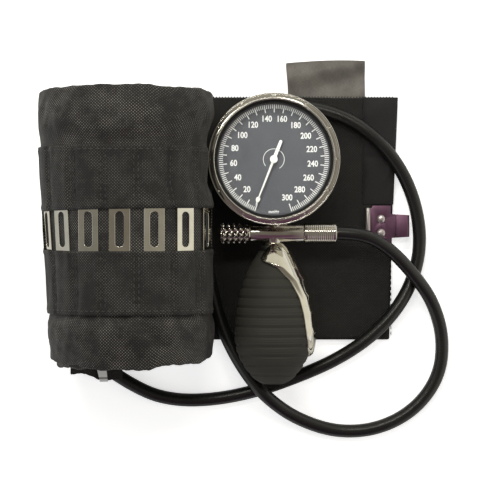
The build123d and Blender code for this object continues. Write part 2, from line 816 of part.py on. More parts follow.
def spoon_handle():
    """Leaf-shaped steel shell that hugs the bulb's right side, held on the spigot by its collar."""
    inner, outer = spoon_gap, spoon_gap + spoon_t
    stations = (bulb_y(0.082), bulb_y(0.422), bulb_wide_y)
    rear = (bulb_wide_y, bulb_y(1.322), spoon_tip_y - 2)
    front = [(bulb_radius(y), y) for y in stations]
    back = [(bulb_radius(y), y) for y in rear]

    def grown(arc, amount):
        return [(r + amount, y) for r, y in arc]

    flange_y = spoon_flange_y - spoon_t
    bore = spigot_r + running_fit
    outer_front, outer_back = grown(front, outer), grown(back, outer)
    inner_front, inner_back = grown(front, inner), grown(back, inner)
    shell = lathe_bulb(
        [(bore, spoon_flange_y), (spoon_neck_r, spoon_flange_y)],
        [(spoon_neck_r, spoon_flange_y), (spoon_neck_r + outer, flange_y)],
        [(spoon_neck_r + outer, flange_y), outer_front[0]], outer_front, outer_back,
        [outer_back[2], inner_back[2]], inner_back[::-1], inner_front[::-1],
        [inner_front[0], (spoon_neck_r + inner, flange_y)],
        [(spoon_neck_r + inner, flange_y), (bore, flange_y)], [(bore, flange_y), (bore, spoon_flange_y)])
    for y in grip_ribs_y:
        wire_at = bulb_radius(y) + outer
        shell += Pos(0, y, valve_z) * Rot(90, 0, 0) * Torus(wire_at, grip_rib_r)
    for y in grip_ribs_y:
        shell -= rod(bulb_radius(y) + inner + spoon_t / 2, (0, y - 1.5, valve_z), (0, y + 1.5, valve_z)) & (
            lathe_bulb([(0, stations[0]), inner_front[0]], inner_front, inner_back,
                       [inner_back[2], (0, rear[2])], [(0, rear[2]), (0, stations[0])]))
    far = 2 * bulb_r
    leaf_y = (spoon_flange_y + 1, spoon_tip_y + 12.5)
    low, high = valve_z - spoon_half_w, valve_z + spoon_half_w
    leaf = outline([(0, leaf_y[0], low), (0, leaf_y[0], high)], [(0, leaf_y[0], high), (0, leaf_y[1], high)],
                   [(0, leaf_y[1], high), (0, spoon_tip_y, valve_z), (0, leaf_y[1], low)],
                   [(0, leaf_y[1], low), (0, leaf_y[0], low)])
    leaf_prism = extrude(Pos(-far / 2, 0, 0) * leaf, 1.5 * far, dir=(1, 0, 0))
    mask = Face(Wire.make_polygon([(-spoon_neck_r - 2, spoon_flange_y + 1, 0), (-spoon_neck_r - 2, -8.0, 0),
                                   (-7.0, -12.4, 0), (3.4, -18.1, 0), (3.4, spoon_tip_y - 5, 0),
                                   (far, spoon_tip_y - 5, 0), (far, spoon_flange_y + 1, 0)]))
    return shell & leaf_prism & extrude(mask, 3 * bulb_r, dir=(0, 0, 1))


def spoon_lock_nut():
    start = spoon_flange_y - spoon_t
    nut = ring(lock_nut_r, spigot_r + running_fit, (0, start, valve_z), (0, start - lock_nut_t, valve_z))
    return nut


# Gauge housing

def gauge_case():
    """Cup with a ledge for the dial, posts for the movement and a pad for the inlet stem."""
    rim_inner = case_r - case_wall
    cup_inner = cup_r - cup_wall
    cup = lathe_z([(0, case_low), (cup_r - case_round, case_low), (cup_r, case_low + case_round),
                   (cup_r, dial_low - ledge_t - case_flare), (case_r, dial_low - ledge_t), (case_r, case_top),
                   (rim_inner, case_top), (rim_inner, dial_low), (cup_inner, dial_low),
                   (cup_inner, floor_z), (0, floor_z)])
    for x in (-post_x, post_x):
        for y in (-post_y, post_y):
            cup += rod(post_r, (x, y, floor_z), (x, y, base_low))
            cup -= rod(screw_r + running_fit, (x, y, base_low - 4), (x, y, base_low))
    pad_y = stem_pad_y - gauge_y
    cup += block((-5.5, pad_y - 2, valve_z - 5.5), (5.5, pad_y, valve_z + 5.5))
    cup -= rod(inlet_stem_r + running_fit, (0, -cup_r - 1, valve_z), (0, pad_y + 1, valve_z))
    return at_gauge(cup)


def gauge_bezel():
    """Rolled ring with a bright rim, a hollow band with punched dimples and an inner lip."""
    skirt_r = case_r + running_fit
    lip_top = lens_top + 0.7
    band = lens_top + 0.42
    low = bezel_top - bezel_h
    face = outline(
        [(skirt_r, 0, low), (skirt_r, 0, lens_top)], [(skirt_r, 0, lens_top), (bezel_lip_r, 0, lens_top)],
        [(bezel_lip_r, 0, lens_top), (bezel_lip_r, 0, lip_top)],
        [(bezel_lip_r, 0, lip_top), (bezel_lip_r + 0.35, 0, lip_top + 0.3), (bezel_lip_r + 0.7, 0, lip_top)],
        [(bezel_lip_r + 0.7, 0, lip_top), (bezel_lip_r + 1.5, 0, band), (bezel_r - 1.3, 0, bezel_top - 0.5)],
        [(bezel_r - 1.3, 0, bezel_top - 0.5), (bezel_r - 0.6, 0, bezel_top), (bezel_r, 0, bezel_top - 0.8)],
        [(bezel_r, 0, bezel_top - 0.8), (bezel_r, 0, low + 0.6)],
        [(bezel_r, 0, low + 0.6), (bezel_r - 0.5, 0, low)], [(bezel_r - 0.5, 0, low), (skirt_r, 0, low)])
    bezel = revolve(face, Axis.Z)
    for number in range(dimple_count):
        turn = 360 / dimple_count * number
        pair = number % (dimple_count // 2) == 0
        for angle in ((turn - dimple_pair_turn, turn + dimple_pair_turn) if pair else (turn,)):
            bezel -= Rot(0, 0, angle) * Pos(0, dimple_at_r, lip_top) * Sphere(dimple_r)
    return at_gauge(bezel)


def lens_gasket():
    inner = case_r - case_wall
    return at_gauge(ring(case_r - lens_gap, inner, (0, 0, case_top), (0, 0, lens_low)))


def dial_lens():
    return at_gauge(rod(case_r - lens_gap, (0, 0, lens_low), (0, 0, lens_top)))


def dial_plate():
    outer = case_r - case_wall - running_fit
    return at_gauge(ring(outer, dial_hole_r, (0, 0, dial_low), (0, 0, dial_top)))


def dial_spacer_ring():
    outer = case_r - case_wall - running_fit
    return at_gauge(ring(outer, outer - spacer_w, (0, 0, dial_top), (0, 0, lens_low)))


# Gauge movement

pillar_places = ((plate_low_x + pillar_edge, pillar_y), (plate_low_x + pillar_edge, -pillar_y),
                 (plate_high_x - pillar_edge, pillar_far_y))
dial_foot_places = ((-dial_foot_x, -pillar_y), (dial_foot_x, pillar_y))


def movement_base_plate():
    """Bridge over the capsule, with two lugs underneath that carry the rocker shaft."""
    plate = block((-base_l / 2, -base_w / 2, base_low), (base_l / 2, base_w / 2, base_top))
    for x in (-post_x, post_x):
        for y in (-post_y, post_y):
            plate -= rod(screw_r + running_fit, (x, y, base_low - 1), (x, y, base_top + 1))
    for x in (0, gear_centres):
        plate -= rod(arbor_r + running_fit, (x, 0, base_low - 1), (x, 0, base_top + 1))
    plate -= block((rocker_x - 1.0, -sector_pin_at - 1.0, base_low - 1),
                   (rocker_x + 1.9, -sector_pin_at + 1.0, base_top + 1))
    for side in (-1, 1):
        y = side * rocker_lug_y
        lug = block((rocker_x - 1.5, y - 0.6, rocker_z - 1.1), (rocker_x + 1.5, y + 0.6, base_low))
        plate += lug
        plate -= rod(rocker_pivot_r + running_fit, (rocker_x, y - 1, rocker_z), (rocker_x, y + 1, rocker_z))
    return at_gauge(plate)


def movement_top_plate():
    """Upper plate with the dial's feet and the stud that holds the hairspring's end."""
    plate = block((plate_low_x, -plate_half_y, top_plate_low), (plate_high_x, plate_half_y, top_plate_top))
    for x in (0, gear_centres):
        plate -= rod(arbor_r + running_fit, (x, 0, top_plate_low - 1), (x, 0, top_plate_top + 1))
    for x, y in pillar_places:
        plate -= rod(small_screw_r + running_fit, (x, y, top_plate_low - 1), (x, y, top_plate_top + 1))
    for x, y in dial_foot_places:
        plate += rod(1.2, (x, y, top_plate_top), (x, y, dial_low))
    stud_x = spring_end()
    plate += rod(spring_stud_r, (stud_x, 0, spring_z() - 0.2), (stud_x, 0, top_plate_low))
    return at_gauge(plate)


def movement_pillars():
    pillars = []
    for x, y in pillar_places:
        pillar = rod(pillar_r, (x, y, base_top), (x, y, top_plate_low))
        pillars.append(pillar - rod(small_screw_r + running_fit, (x, y, top_plate_low - 3),
                                    (x, y, top_plate_low)))
    return at_gauge(group(pillars))


def screw(radius, length, head_h, x, y, seat_z):
    """Slotted cheese-head screw standing down from its seat."""
    head = rod(2 * radius, (x, y, seat_z), (x, y, seat_z + head_h))
    head -= block((x - 2.5 * radius, y - 0.15, seat_z + head_h / 2), (x + 2.5 * radius, y + 0.15, seat_z + 2))
    return head + rod(radius, (x, y, seat_z - length), (x, y, seat_z))


def movement_screws():
    screws = [screw(small_screw_r, 3.0, 0.8, x, y, top_plate_top) for x, y in pillar_places]
    for x in (-post_x, post_x):
        for y in (-post_y, post_y):
            screws.append(screw(screw_r, 4.0, 1.0, x, y, base_top))
    return at_gauge(group(screws))


def spring_z():
    return sector_low + 2.25


def spring_end():
    """Place of the stud at the hairspring's outer end, on the X axis."""
    last_r = spring_first_r + (spring_half_turns - 1) * spring_pitch / 2
    side = -1 if spring_half_turns % 2 else 1
    end = last_r if side < 0 else last_r + spring_pitch / 2
    return side * (end + spring_t / 2 + spring_stud_r + running_fit)


def hairspring():
    """Flat spiral of half-turn arcs about two centres."""
    outer, inner = [], []
    for number in range(spring_half_turns):
        radius = spring_first_r + number * spring_pitch / 2
        centre = 0 if number % 2 == 0 else spring_pitch / 2
        start, end = (0, 180) if number % 2 == 0 else (180, 360)
        for runs, r in ((outer, radius + spring_t / 2), (inner, radius - spring_t / 2)):
            runs.append([(centre + r * math.cos(math.radians(a)), r * math.sin(math.radians(a)), 0)
                         for a in (start, (start + end) / 2, end)])
    face = outline(*outer, (outer[-1][2], inner[-1][2]), *[run[::-1] for run in inner[::-1]],
                   (inner[0][0], outer[0][0]))
    return at_gauge(extrude(Pos(0, 0, spring_z()) * face, spring_h, dir=(0, 0, 1)))


def capsule_outline(skin):
    """Corrugated profile of the capsule, drawn in by a skin thickness."""
    low, top = capsule_low + skin, capsule_top - skin
    ripple = ((0, 0), (4, 0), (6, 0.5), (9, 0.2), (12, 0.6), (15, 0.4))
    lower = [(r, low + rise) for r, rise in ripple]
    upper = [(r, top - rise) for r, rise in ripple[::-1]]
    middle = (capsule_low + capsule_top) / 2
    rim = capsule_r - skin
    return lower + [(rim, middle - 0.3 + skin / 2), (rim, middle + 0.3 - skin / 2)] + upper


def capsule():
    return at_gauge(lathe_z(capsule_outline(0)) - lathe_z(capsule_outline(capsule_skin)))


def capsule_stud():
    return at_gauge(rod(stud_r, (0, 0, floor_z), (0, 0, capsule_low)))


def capsule_push_pin():
    return at_gauge(rod(push_pin_r, (0, 0, capsule_top), (0, 0, push_pin_top)))


def pressure_tube():
    """Small pipe from the inlet stem to the stud under the capsule."""
    start_y = stem_pad_y + 2.0
    low_z = floor_z + 1.4
    points = ((0, start_y, valve_z), (0, start_y + 4, valve_z), (0, start_y + 4, low_z),
              (0, gauge_y - stud_r, low_z))
    path = FilletPolyline(*points, radius=2.5)
    section = Plane(origin=points[0], z_dir=(0, 1, 0)) * (Circle(1.2) - Circle(0.7))
    return sweep(section, path)


def rocker_shaft():
    """Shaft with one arm over the capsule's pin and one up to the sector's pin."""
    inner_y = rocker_lug_y - 0.8
    shaft = rod(rocker_shaft_r, (rocker_x, -inner_y, rocker_z), (rocker_x, inner_y, rocker_z))
    pivot_y = rocker_lug_y + 0.4
    shaft += rod(rocker_pivot_r, (rocker_x, -pivot_y, rocker_z), (rocker_x, pivot_y, rocker_z))
    half_t, half_w = rocker_arm_t / 2, rocker_arm_w / 2
    shaft += block((-half_w, -half_w, rocker_z - half_t), (rocker_x, half_w, rocker_z + half_t))
    shaft += block((rocker_x - 0.6, -sector_pin_at - 0.6, rocker_z),
                   (rocker_x + 0.6, -sector_pin_at + 0.6, rocker_z + rocker_reach))
    return at_gauge(shaft)


def tooth(pitch_r, middle, sign=1):
    """Four corners of one tooth: root, tip, tip, root."""
    half = math.pi * gear_module * tooth_share / 2
    root, tip = pitch_r - 1.15 * gear_module, pitch_r + 0.9 * gear_module
    corners = ((root, -half * 1.25), (tip, -half * 0.55), (tip, half * 0.55), (root, half * 1.25))
    return [(r * math.cos(middle + w / r), r * math.sin(middle + w / r)) for r, w in corners]


def pinion_arbor():
    """Arbor that carries the pointer, with the pinion and the hairspring's collet."""
    arbor = rod(arbor_r, (0, 0, base_low + 0.1), (0, 0, pointer_low + 0.55))
    points = []
    for number in range(pinion_teeth):
        points += tooth(pinion_r, math.radians(360 / pinion_teeth * number))
    teeth = Face(Wire.make_polygon([(x, y, sector_low - 0.6) for x, y in points]))
    collet_z = spring_z() - 0.15
    arbor += extrude(teeth, pinion_l, dir=(0, 0, 1))
    arbor += rod(spring_first_r - spring_t, (0, 0, collet_z), (0, 0, collet_z + 0.8))
    return at_gauge(arbor)


def sector_gear():
    """Toothed fan that turns the pinion, with the pin that the rocker pushes."""
    pitch = 2 * math.pi / sector_teeth
    points = [(0.0, 0.0)]
    first = math.pi + (sector_teeth_past_mesh - 0.5) * pitch
    for number in range(sector_cut_teeth):
        points += tooth(sector_r, first - number * pitch)[::-1]
    fan = Face(Wire.make_polygon([(x, y, sector_low) for x, y in points]))
    gear = extrude(fan, sector_t, dir=(0, 0, 1))
    gear += rod(2.8, (0, 0, sector_low), (0, 0, sector_low + sector_t))
    gear += rod(1.2, (0, 0, base_top + 0.2), (0, 0, sector_low + sector_t + 0.8))
    gear += rod(sector_pin_r, (0, -sector_pin_at, sector_low - 1.6), (0, -sector_pin_at, sector_low))
    gear -= rod(arbor_r, (0, 0, base_low), (0, 0, top_plate_top))
    return at_gauge(gear, gear_centres)


def sector_arbor():
    return at_gauge(rod(arbor_r, (0, 0, base_low + 0.1), (0, 0, top_plate_top - 0.1)), gear_centres)


def pointer():
    """White hand at zero on the dial: spade tip, round hub and a broad tail."""
    hub_w, tip_w, spade_w = 1.3, 0.7, 2.2
    blade = Face(Wire.make_polygon([
        (0, -hub_w / 2, 0), (pointer_spade_r - 0.6, -tip_w / 2, 0), (pointer_spade_r, -spade_w / 2, 0),
        (pointer_spade_r + 1.2, -spade_w / 2, 0), (pointer_spade_r + 2.4, -tip_w / 2, 0),
        (pointer_tip_r, 0, 0), (pointer_spade_r + 2.4, tip_w / 2, 0), (pointer_spade_r + 1.2, spade_w / 2, 0),
        (pointer_spade_r, spade_w / 2, 0), (pointer_spade_r - 0.6, tip_w / 2, 0), (0, hub_w / 2, 0)]))
    hand = extrude(blade, pointer_t, dir=(0, 0, 1))
    tail_end = pointer_tail_r - pointer_tail_w / 2
    hand += block((-tail_end, -pointer_tail_w / 2, 0), (0, pointer_tail_w / 2, pointer_t))
    hand += rod(pointer_tail_w / 2, (-tail_end, 0, 0), (-tail_end, 0, pointer_t))
    hand += rod(pointer_hub_r, (0, 0, -0.4), (0, 0, pointer_t + 0.6))
    hand -= rod(arbor_r + running_fit / 2, (0, 0, -1), (0, 0, 0.6))
    return at_gauge(Pos(0, 0, pointer_low) * Rot(0, 0, 90 - pointer_rest_turn) * hand)


pieces = [
    cuff_sleeve, bladder, bladder_port, stay_panel, closure_stays, tail_hem, hook_plate, hook_rivets,
    hook_backing_plate, pull_tab, care_label, outlet_flap, hose, valve_body, gauge_inlet_stem,
    release_knob, valve_needle, needle_seal, outlet_valve_seat, outlet_valve_disc, coupling_nut,
    nipple_washer, hose_nipple, bulb, inlet_valve_body, inlet_valve_ball, inlet_valve_screen,
    spoon_handle, spoon_lock_nut, gauge_case, gauge_bezel, lens_gasket, dial_lens, dial_plate,
    dial_spacer_ring, movement_base_plate, movement_top_plate, movement_pillars, movement_screws,
    hairspring, capsule, capsule_stud, capsule_push_pin, pressure_tube, rocker_shaft, pinion_arbor,
    sector_gear, sector_arbor, pointer]

os.makedirs("parts", exist_ok=True)
for piece in pieces:
    export_step(piece(), f"parts/{piece.__name__}.step")
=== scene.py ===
import math

import bmesh
import bpy
from mathutils import Matrix, Vector, noise


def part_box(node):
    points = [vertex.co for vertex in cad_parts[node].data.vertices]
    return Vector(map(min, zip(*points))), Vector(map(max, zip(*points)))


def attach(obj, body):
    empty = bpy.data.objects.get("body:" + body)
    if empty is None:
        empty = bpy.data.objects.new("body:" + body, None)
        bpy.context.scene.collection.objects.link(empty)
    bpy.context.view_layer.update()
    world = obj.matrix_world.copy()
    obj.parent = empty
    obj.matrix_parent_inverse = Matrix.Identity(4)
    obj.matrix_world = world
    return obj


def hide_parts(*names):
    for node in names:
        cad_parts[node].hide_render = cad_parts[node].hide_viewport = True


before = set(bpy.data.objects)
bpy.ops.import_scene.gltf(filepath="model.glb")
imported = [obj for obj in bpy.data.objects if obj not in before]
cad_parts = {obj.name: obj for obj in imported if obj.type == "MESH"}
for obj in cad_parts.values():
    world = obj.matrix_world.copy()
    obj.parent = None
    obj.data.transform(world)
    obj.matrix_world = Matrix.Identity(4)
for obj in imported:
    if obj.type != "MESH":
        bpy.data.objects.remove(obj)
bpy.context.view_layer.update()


# STUDIO
# The gauge was photographed from straight above on a white table, under soft light from all
# round. Metal mirrors a warm panel on the right and above the dial, and plum cloth below it.

def linear(hex_colour):
    """sRGB hex value as a linear colour."""
    values = [int(hex_colour[i:i + 2], 16) / 255 for i in (1, 3, 5)]
    return tuple(v / 12.92 if v <= 0.04045 else ((v + 0.055) / 1.055) ** 2.4 for v in values) + (1,)


def add_node(tree, kind, inputs=(), **settings):
    """A shader node with its settings, and what its sockets get: a link, or an sRGB colour."""
    node = tree.nodes.new(kind)
    for name, value in settings.items():
        if hasattr(node, name):
            setattr(node, name, value)
        else:
            node.inputs[name.replace("_", " ")].default_value = value
    for socket, source in dict(inputs).items():
        if isinstance(source, str):
            node.inputs[socket].default_value = linear(source)
        else:
            tree.links.new(source, node.inputs[socket])
    return node


camera_height = 0.85
camera_spot = (-0.0174, -0.00355)
seen_half_width = 0.1291
sensor_width = 36

camera = bpy.data.objects.new("camera", bpy.data.cameras.new("camera"))
camera.data.sensor_width = sensor_width
camera.data.lens = sensor_width / 2 * camera_height / seen_half_width
camera.location = (*camera_spot, camera_height)
bpy.context.scene.collection.objects.link(camera)
bpy.context.scene.camera = camera
bpy.context.scene.view_settings.view_transform = "Standard"


lamp_aim = Vector((0, 0, 0.03))


def softbox(name, place, size, watts, colour, mirrored):
    """Area lamp aimed at the middle of the gauge. Only a mirrored one shows in the metal."""
    lamp = bpy.data.lights.new(name, "AREA")
    lamp.shape, lamp.size, lamp.size_y = "RECTANGLE", size[0], size[1]
    lamp.energy, lamp.color = watts, linear(colour)[:3]
    box = bpy.data.objects.new(name, lamp)
    box.location = place
    box.rotation_euler = (lamp_aim - Vector(place)).to_track_quat("-Z", "Y").to_euler()
    box.visible_glossy = mirrored
    bpy.context.scene.collection.objects.link(box)


softbox("panel_above_dial", (-0.14, 0.65, 0.52), (0.42, 0.17), 4.3, "#fbf8ee", False)
softbox("glint_strip", (-0.08, 0.30, 0.68), (0.50, 0.045), 1.1, "#fffdf6", True)
softbox("panel_right", (0.95, 0.1, 0.75), (0.5, 0.8), 2.6, "#fdf6e4", False)
softbox("panel_left", (-0.9, -0.3, 0.9), (0.5, 0.7), 1.8, "#f3f3f6", False)
softbox("panel_front", (-0.12, -0.75, 0.5), (0.6, 0.4), 0.45, "#f8f6f2", False)


def fade(tree, value, low, high, below, above):
    """Colour that turns smoothly from below to above while value goes from low to high."""
    share = add_node(tree, "ShaderNodeMapRange", {0: value}, interpolation_type="SMOOTHSTEP",
                     From_Min=low, From_Max=high).outputs[0]
    return add_node(tree, "ShaderNodeMix", {0: share, 6: below, 7: above}, data_type="RGBA").outputs[2]


world = bpy.data.worlds.new("studio")
bpy.context.scene.world = world
world.use_nodes = True
tree = world.node_tree
tree.nodes.clear()
around = add_node(tree, "ShaderNodeTexCoord").outputs["Generated"]
split = add_node(tree, "ShaderNodeSeparateXYZ", {0: around})
to_x, to_y, to_z = (split.outputs[axis] for axis in "XYZ")
high_up = fade(tree, to_y, -0.35, 0.15, "#6a4a5e", "#b0ada3")
high_up = fade(tree, to_x, 0.20, 0.50, high_up, "#9c978e")
high_up = fade(tree, to_x, -0.50, -0.20, "#827f78", high_up)
low_down = fade(tree, to_y, -0.50, 0.10, "#55384c", "#e4e0d4")
low_down = fade(tree, to_x, 0.25, 0.70, low_down, "#f4f0e4")
low_down = fade(tree, to_x, -0.75, -0.30, "#efeeec", low_down)
low_down = fade(tree, to_z, 0.05, 0.20, "#ffffff", low_down)
walls = fade(tree, to_z, 0.50, 0.78, low_down, high_up)
ceiling = fade(tree, to_z, 0.87, 0.97, walls, "#7d776e")
mirrored = add_node(tree, "ShaderNodeBackground", {"Color": ceiling}, Strength=1.0)
plain = add_node(tree, "ShaderNodeBackground", {"Color": "#ffffff"}, Strength=0.24)
path = add_node(tree, "ShaderNodeLightPath")
by_gloss = add_node(tree, "ShaderNodeMixShader", {0: path.outputs["Is Glossy Ray"],
                                                  1: plain.outputs[0], 2: mirrored.outputs[0]})
white = add_node(tree, "ShaderNodeBackground", {"Color": "#ffffff"}, Strength=1.0)
seen = add_node(tree, "ShaderNodeMixShader", {0: path.outputs["Is Camera Ray"],
                                              1: by_gloss.outputs[0], 2: white.outputs[0]})
add_node(tree, "ShaderNodeOutputWorld", {"Surface": seen.outputs[0]})


def new_material(name):
    """Empty node material and its tree."""
    material = bpy.data.materials.new(name)
    material.use_nodes = True
    material.node_tree.nodes.clear()
    return material, material.node_tree


def in_scene(name, bm, *materials):
    """Smooth shaded object at the origin, made from a finished mesh."""
    mesh = bpy.data.meshes.new(name)
    bm.to_mesh(mesh)
    bm.free()
    for material in materials:
        mesh.materials.append(material)
    for face in mesh.polygons:
        face.use_smooth = True
    piece = bpy.data.objects.new(name, mesh)
    bpy.context.scene.collection.objects.link(piece)
    return piece


# White laminate: even and matt. The glow is for the camera alone and burns it out to plain white.
table_material, tree = new_material("white laminate table")
lit = add_node(tree, "ShaderNodeBsdfDiffuse", {"Color": "#f4f4f4"})
glow = add_node(tree, "ShaderNodeEmission", {"Color": "#ffffff"}, Strength=0.62)
path = add_node(tree, "ShaderNodeLightPath")
no_glow = add_node(tree, "ShaderNodeEmission", Strength=0.0)
seen_glow = add_node(tree, "ShaderNodeMixShader", {0: path.outputs["Is Camera Ray"],
                                                   1: no_glow.outputs[0], 2: glow.outputs[0]})
both = add_node(tree, "ShaderNodeAddShader", {0: lit.outputs[0], 1: seen_glow.outputs[0]})
add_node(tree, "ShaderNodeOutputMaterial", {"Surface": both.outputs[0]})
table_half = 4.0
bm = bmesh.new()
bmesh.ops.create_grid(bm, x_segments=1, y_segments=1, size=table_half)
table = in_scene("table", bm, table_material)


# HOSE
# One length of black natural rubber tube, extruded, 7 mm thick with a 4 mm bore. It leaves the
# coupling nut, loops down over the table, round under the gauge and back to the cuff.

hand_piece = "cuff_and_hand_piece"
hose_radius = 0.0035
# The route's control points in millimetres, from the coupling nut to the bladder's port.
hose_points = [
    (33.3, 0, 23.4), (47.5, 0, 23.4), (62, -8.5, 18.0), (74.5, -21.5, 12.2),
    (85.5, -36, 6.0), (91.5, -55.5, 3.6), (89.5, -76.5, 3.65), (76.5, -94.5, 3.6),
    (56.5, -105, 3.65), (34, -106.5, 3.6), (12.5, -99, 6.0), (-3.0, -87.5, 11.4),
    (-12.5, -76.5, 11.0), (-20.5, -64, 8.6), (-27, -50, 7.3), (-32.5, -31, 6.9),
    (-37, -10, 6.95), (-37.5, 11.5, 6.9), (-33.5, 31.5, 6.95), (-24.5, 48, 6.9),
    (-10.5, 60.3, 6.95), (6, 67.8, 6.9), (26, 66.6, 7.0), (45, 59.0, 7.5), (60, 46, 7.6),
    (70.8, 30.5, 6.2), (77.8, 11.5, 3.6), (79.3, -8, 3.65), (74.5, -27, 3.9), (64.5, -43, 7.3),
    (51, -56.5, 6.8), (33.5, -68, 4.2), (14, -76.5, 3.6), (-7, -84.0, 3.65), (-29, -88.8, 3.6),
    (-51, -89.6, 3.65), (-70, -84.6, 4.25), (-85.01, -74.66, 4.25)]


def black_rubber(name, base, worn, grain_mm, roughness):
    """Moulded or extruded black rubber: fine bloom in patches, a soft broad highlight."""
    material, tree = new_material(name)
    bloom_mm = 12
    spot = add_node(tree, "ShaderNodeTexCoord").outputs["Object"]
    bloom = add_node(tree, "ShaderNodeTexNoise", {"Vector": spot}, Scale=1000 / bloom_mm, Detail=3.0)
    grain = add_node(tree, "ShaderNodeTexNoise", {"Vector": spot}, Scale=1000 / grain_mm, Detail=2.0)
    colour = add_node(tree, "ShaderNodeMix", {0: bloom.outputs[0], 6: base, 7: worn}, data_type="RGBA")
    rough = add_node(tree, "ShaderNodeMapRange", {0: grain.outputs[0]}, To_Min=roughness - 0.06,
                     To_Max=roughness + 0.08)
    bump = add_node(tree, "ShaderNodeBump", {"Height": grain.outputs[0]}, Strength=0.12, Distance=0.0002)
    surface = add_node(tree, "ShaderNodeBsdfPrincipled",
                       {"Base Color": colour.outputs[2], "Roughness": rough.outputs[0],
                        "Normal": bump.outputs[0]}, IOR=1.52)
    add_node(tree, "ShaderNodeOutputMaterial", {"Surface": surface.outputs[0]})
    return material


def fitted(piece, body, node):
    """Fixes a finished piece to its body, in place of its CAD node."""
    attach(piece, body)
    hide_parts(node)


hose_rubber = black_rubber("extruded natural rubber", "#101010", "#191917", 0.35, 0.28)
curve = bpy.data.curves.new("rubber_hose", "CURVE")
curve.dimensions = "3D"
line = curve.splines.new("NURBS")
line.points.add(len(hose_points) - 1)
for point, (x, y, z) in zip(line.points, hose_points):
    point.co = (x / 1000, y / 1000, z / 1000, 1)
line.order_u = 3
line.use_endpoint_u = True
line.resolution_u = 12
curve.bevel_depth = hose_radius
curve.bevel_resolution = 7
curve.use_fill_caps = True
curve.materials.append(hose_rubber)
hose = bpy.data.objects.new("rubber_hose", curve)
bpy.context.scene.collection.objects.link(hose)
fitted(hose, hand_piece, "hose")


# CUFF CLOTH
# A strip of black nylon twill, doubled and sewn round a rubber bladder. It is cut and sewn flat,
# lies on the table as a tail, and is then rolled up once and a half round the arm space.

tail_thick, roll_thick = 0.003, 0.0045
tail_end_x, tail_slant = 0.066, 0.003
cloth_low_y, cloth_high_y = -0.067, 0.073
tail_low_y = -0.057
tail_wide = cloth_high_y - tail_low_y
roll_left_x, roll_right_x = -0.082, -0.07155
roll_top_z, lifted_z = 0.0776, 0.0033
left_radius = roll_top_z / 2
right_radius = (roll_top_z - lifted_z) / 2
inner_radius = left_radius - lifted_z
strip_end_x = roll_right_x - 0.003

# Each stretch of the strip's outer face: its length, and for an arc its centre and radius.
lay = [(tail_end_x - roll_left_x, (tail_end_x, 0), -1, -1),
       (math.pi * left_radius, (roll_left_x, left_radius), left_radius, 270),
       (roll_right_x - roll_left_x, (roll_left_x, roll_top_z), 1, 1),
       (math.pi * right_radius, (roll_right_x, lifted_z + right_radius), right_radius, 90),
       (roll_right_x - roll_left_x, (roll_right_x, lifted_z), -1, -1),
       (math.pi * inner_radius, (roll_left_x, left_radius), inner_radius, 270),
       (strip_end_x - roll_left_x, (roll_left_x, roll_top_z - lifted_z), 1, 1)]
tail_run, left_run, top_run, right_run = (sum(s[0] for s in lay[:n]) for n in (1, 2, 3, 4))
strip_run = sum(s[0] for s in lay)
thick_from = top_run


def ease(value, low, high):
    """0 below low, 1 above high, smooth between."""
    t = min(max((value - low) / (high - low), 0), 1)
    return t * t * (3 - 2 * t)


# How far the cloth is off a tight roll: slack at its far left, most at the lower end, a bulge to
# the right except beside the bezel, and a low lower end.
slack_out, slack_low_end, bulge_out, end_sink = 0.0012, 0.0052, 0.0027, 0.0032


def on_roll(along, y, out):
    """Place of a point of the flat cloth once it is rolled: along the strip, across it, and out."""
    left = max(along, 0)
    for length, (x, z), bend, start in lay:
        if left <= length:
            break
        left -= length
    left += min(along, 0)
    if abs(bend) == 1:
        place = Vector((x + left * bend, y, z + out * bend))
    else:
        angle = math.radians(start) - left / bend
        place = Vector((x + (bend + out) * math.cos(angle), y, z + (bend + out) * math.sin(angle)))
    place.x += ease(-place.x, 0.082, 0.1208) * (slack_out + slack_low_end * ease(-y, -0.055, 0.062))
    beside_bezel = ease(y, 0.016, 0.026) * ease(-y, -0.062, -0.050)
    place.x += bulge_out * ease(place.x, -0.075, -0.036) * (1 - beside_bezel) * ease(place.z, 0.008, 0.022)
    place.z -= end_sink * ease(-y, 0.042, 0.068) * ease(place.z, 0.050, 0.076)
    return place


# The strip's edges: the corners of the roll are runs along it, and its cut waves in two sizes.
upper_corner_run, lower_corner_run, corner_wide = 0.205, 0.335, 0.03
wave_long, ripple_long = 0.011, 0.004
corner_in, low_wave, high_wave = 0.0032, 0.0024, 0.0013


def strip_y(along, y):
    """Edge of the strip: narrower in the tail, drawn in at the roll's lower corners."""
    low = tail_low_y + (cloth_low_y - tail_low_y) * ease(along, 0.113, 0.120)
    y = cloth_high_y - (cloth_high_y - y) * (cloth_high_y - low) / (cloth_high_y - cloth_low_y)
    corner = max(math.exp(-((along - lower_corner_run) / corner_wide) ** 2),
                 0.9 * math.exp(-((along - upper_corner_run) / corner_wide) ** 2))
    wavy = (noise.noise(Vector((along / wave_long, 2.6, 0)))
            + 0.4 * noise.noise(Vector((along / ripple_long, 9.1, 0))))
    rolled = ease(along, 0.15, 0.17)
    return (y + (corner_in * corner + low_wave * wavy * rolled) * ease(-y, 0.052, 0.067)
            - (0.0005 + 0.0004 * corner + high_wave * wavy) * rolled * ease(y, 0.060, 0.073))


tail_seam_run = 0.0178
panel_low_y, panel_high_y = -0.0406, 0.0432
window_y, window_half = 0.0017, 0.0104
stay_half = 0.0052
stay_spots = (-0.0503, -0.0342, -0.0163, -0.0003, 0.0158, 0.0314, 0.0482)
panel_middle = left_run + 0.006
panel_half = 0.0575
puff_high, puff_low = 0.0026, 0.0020
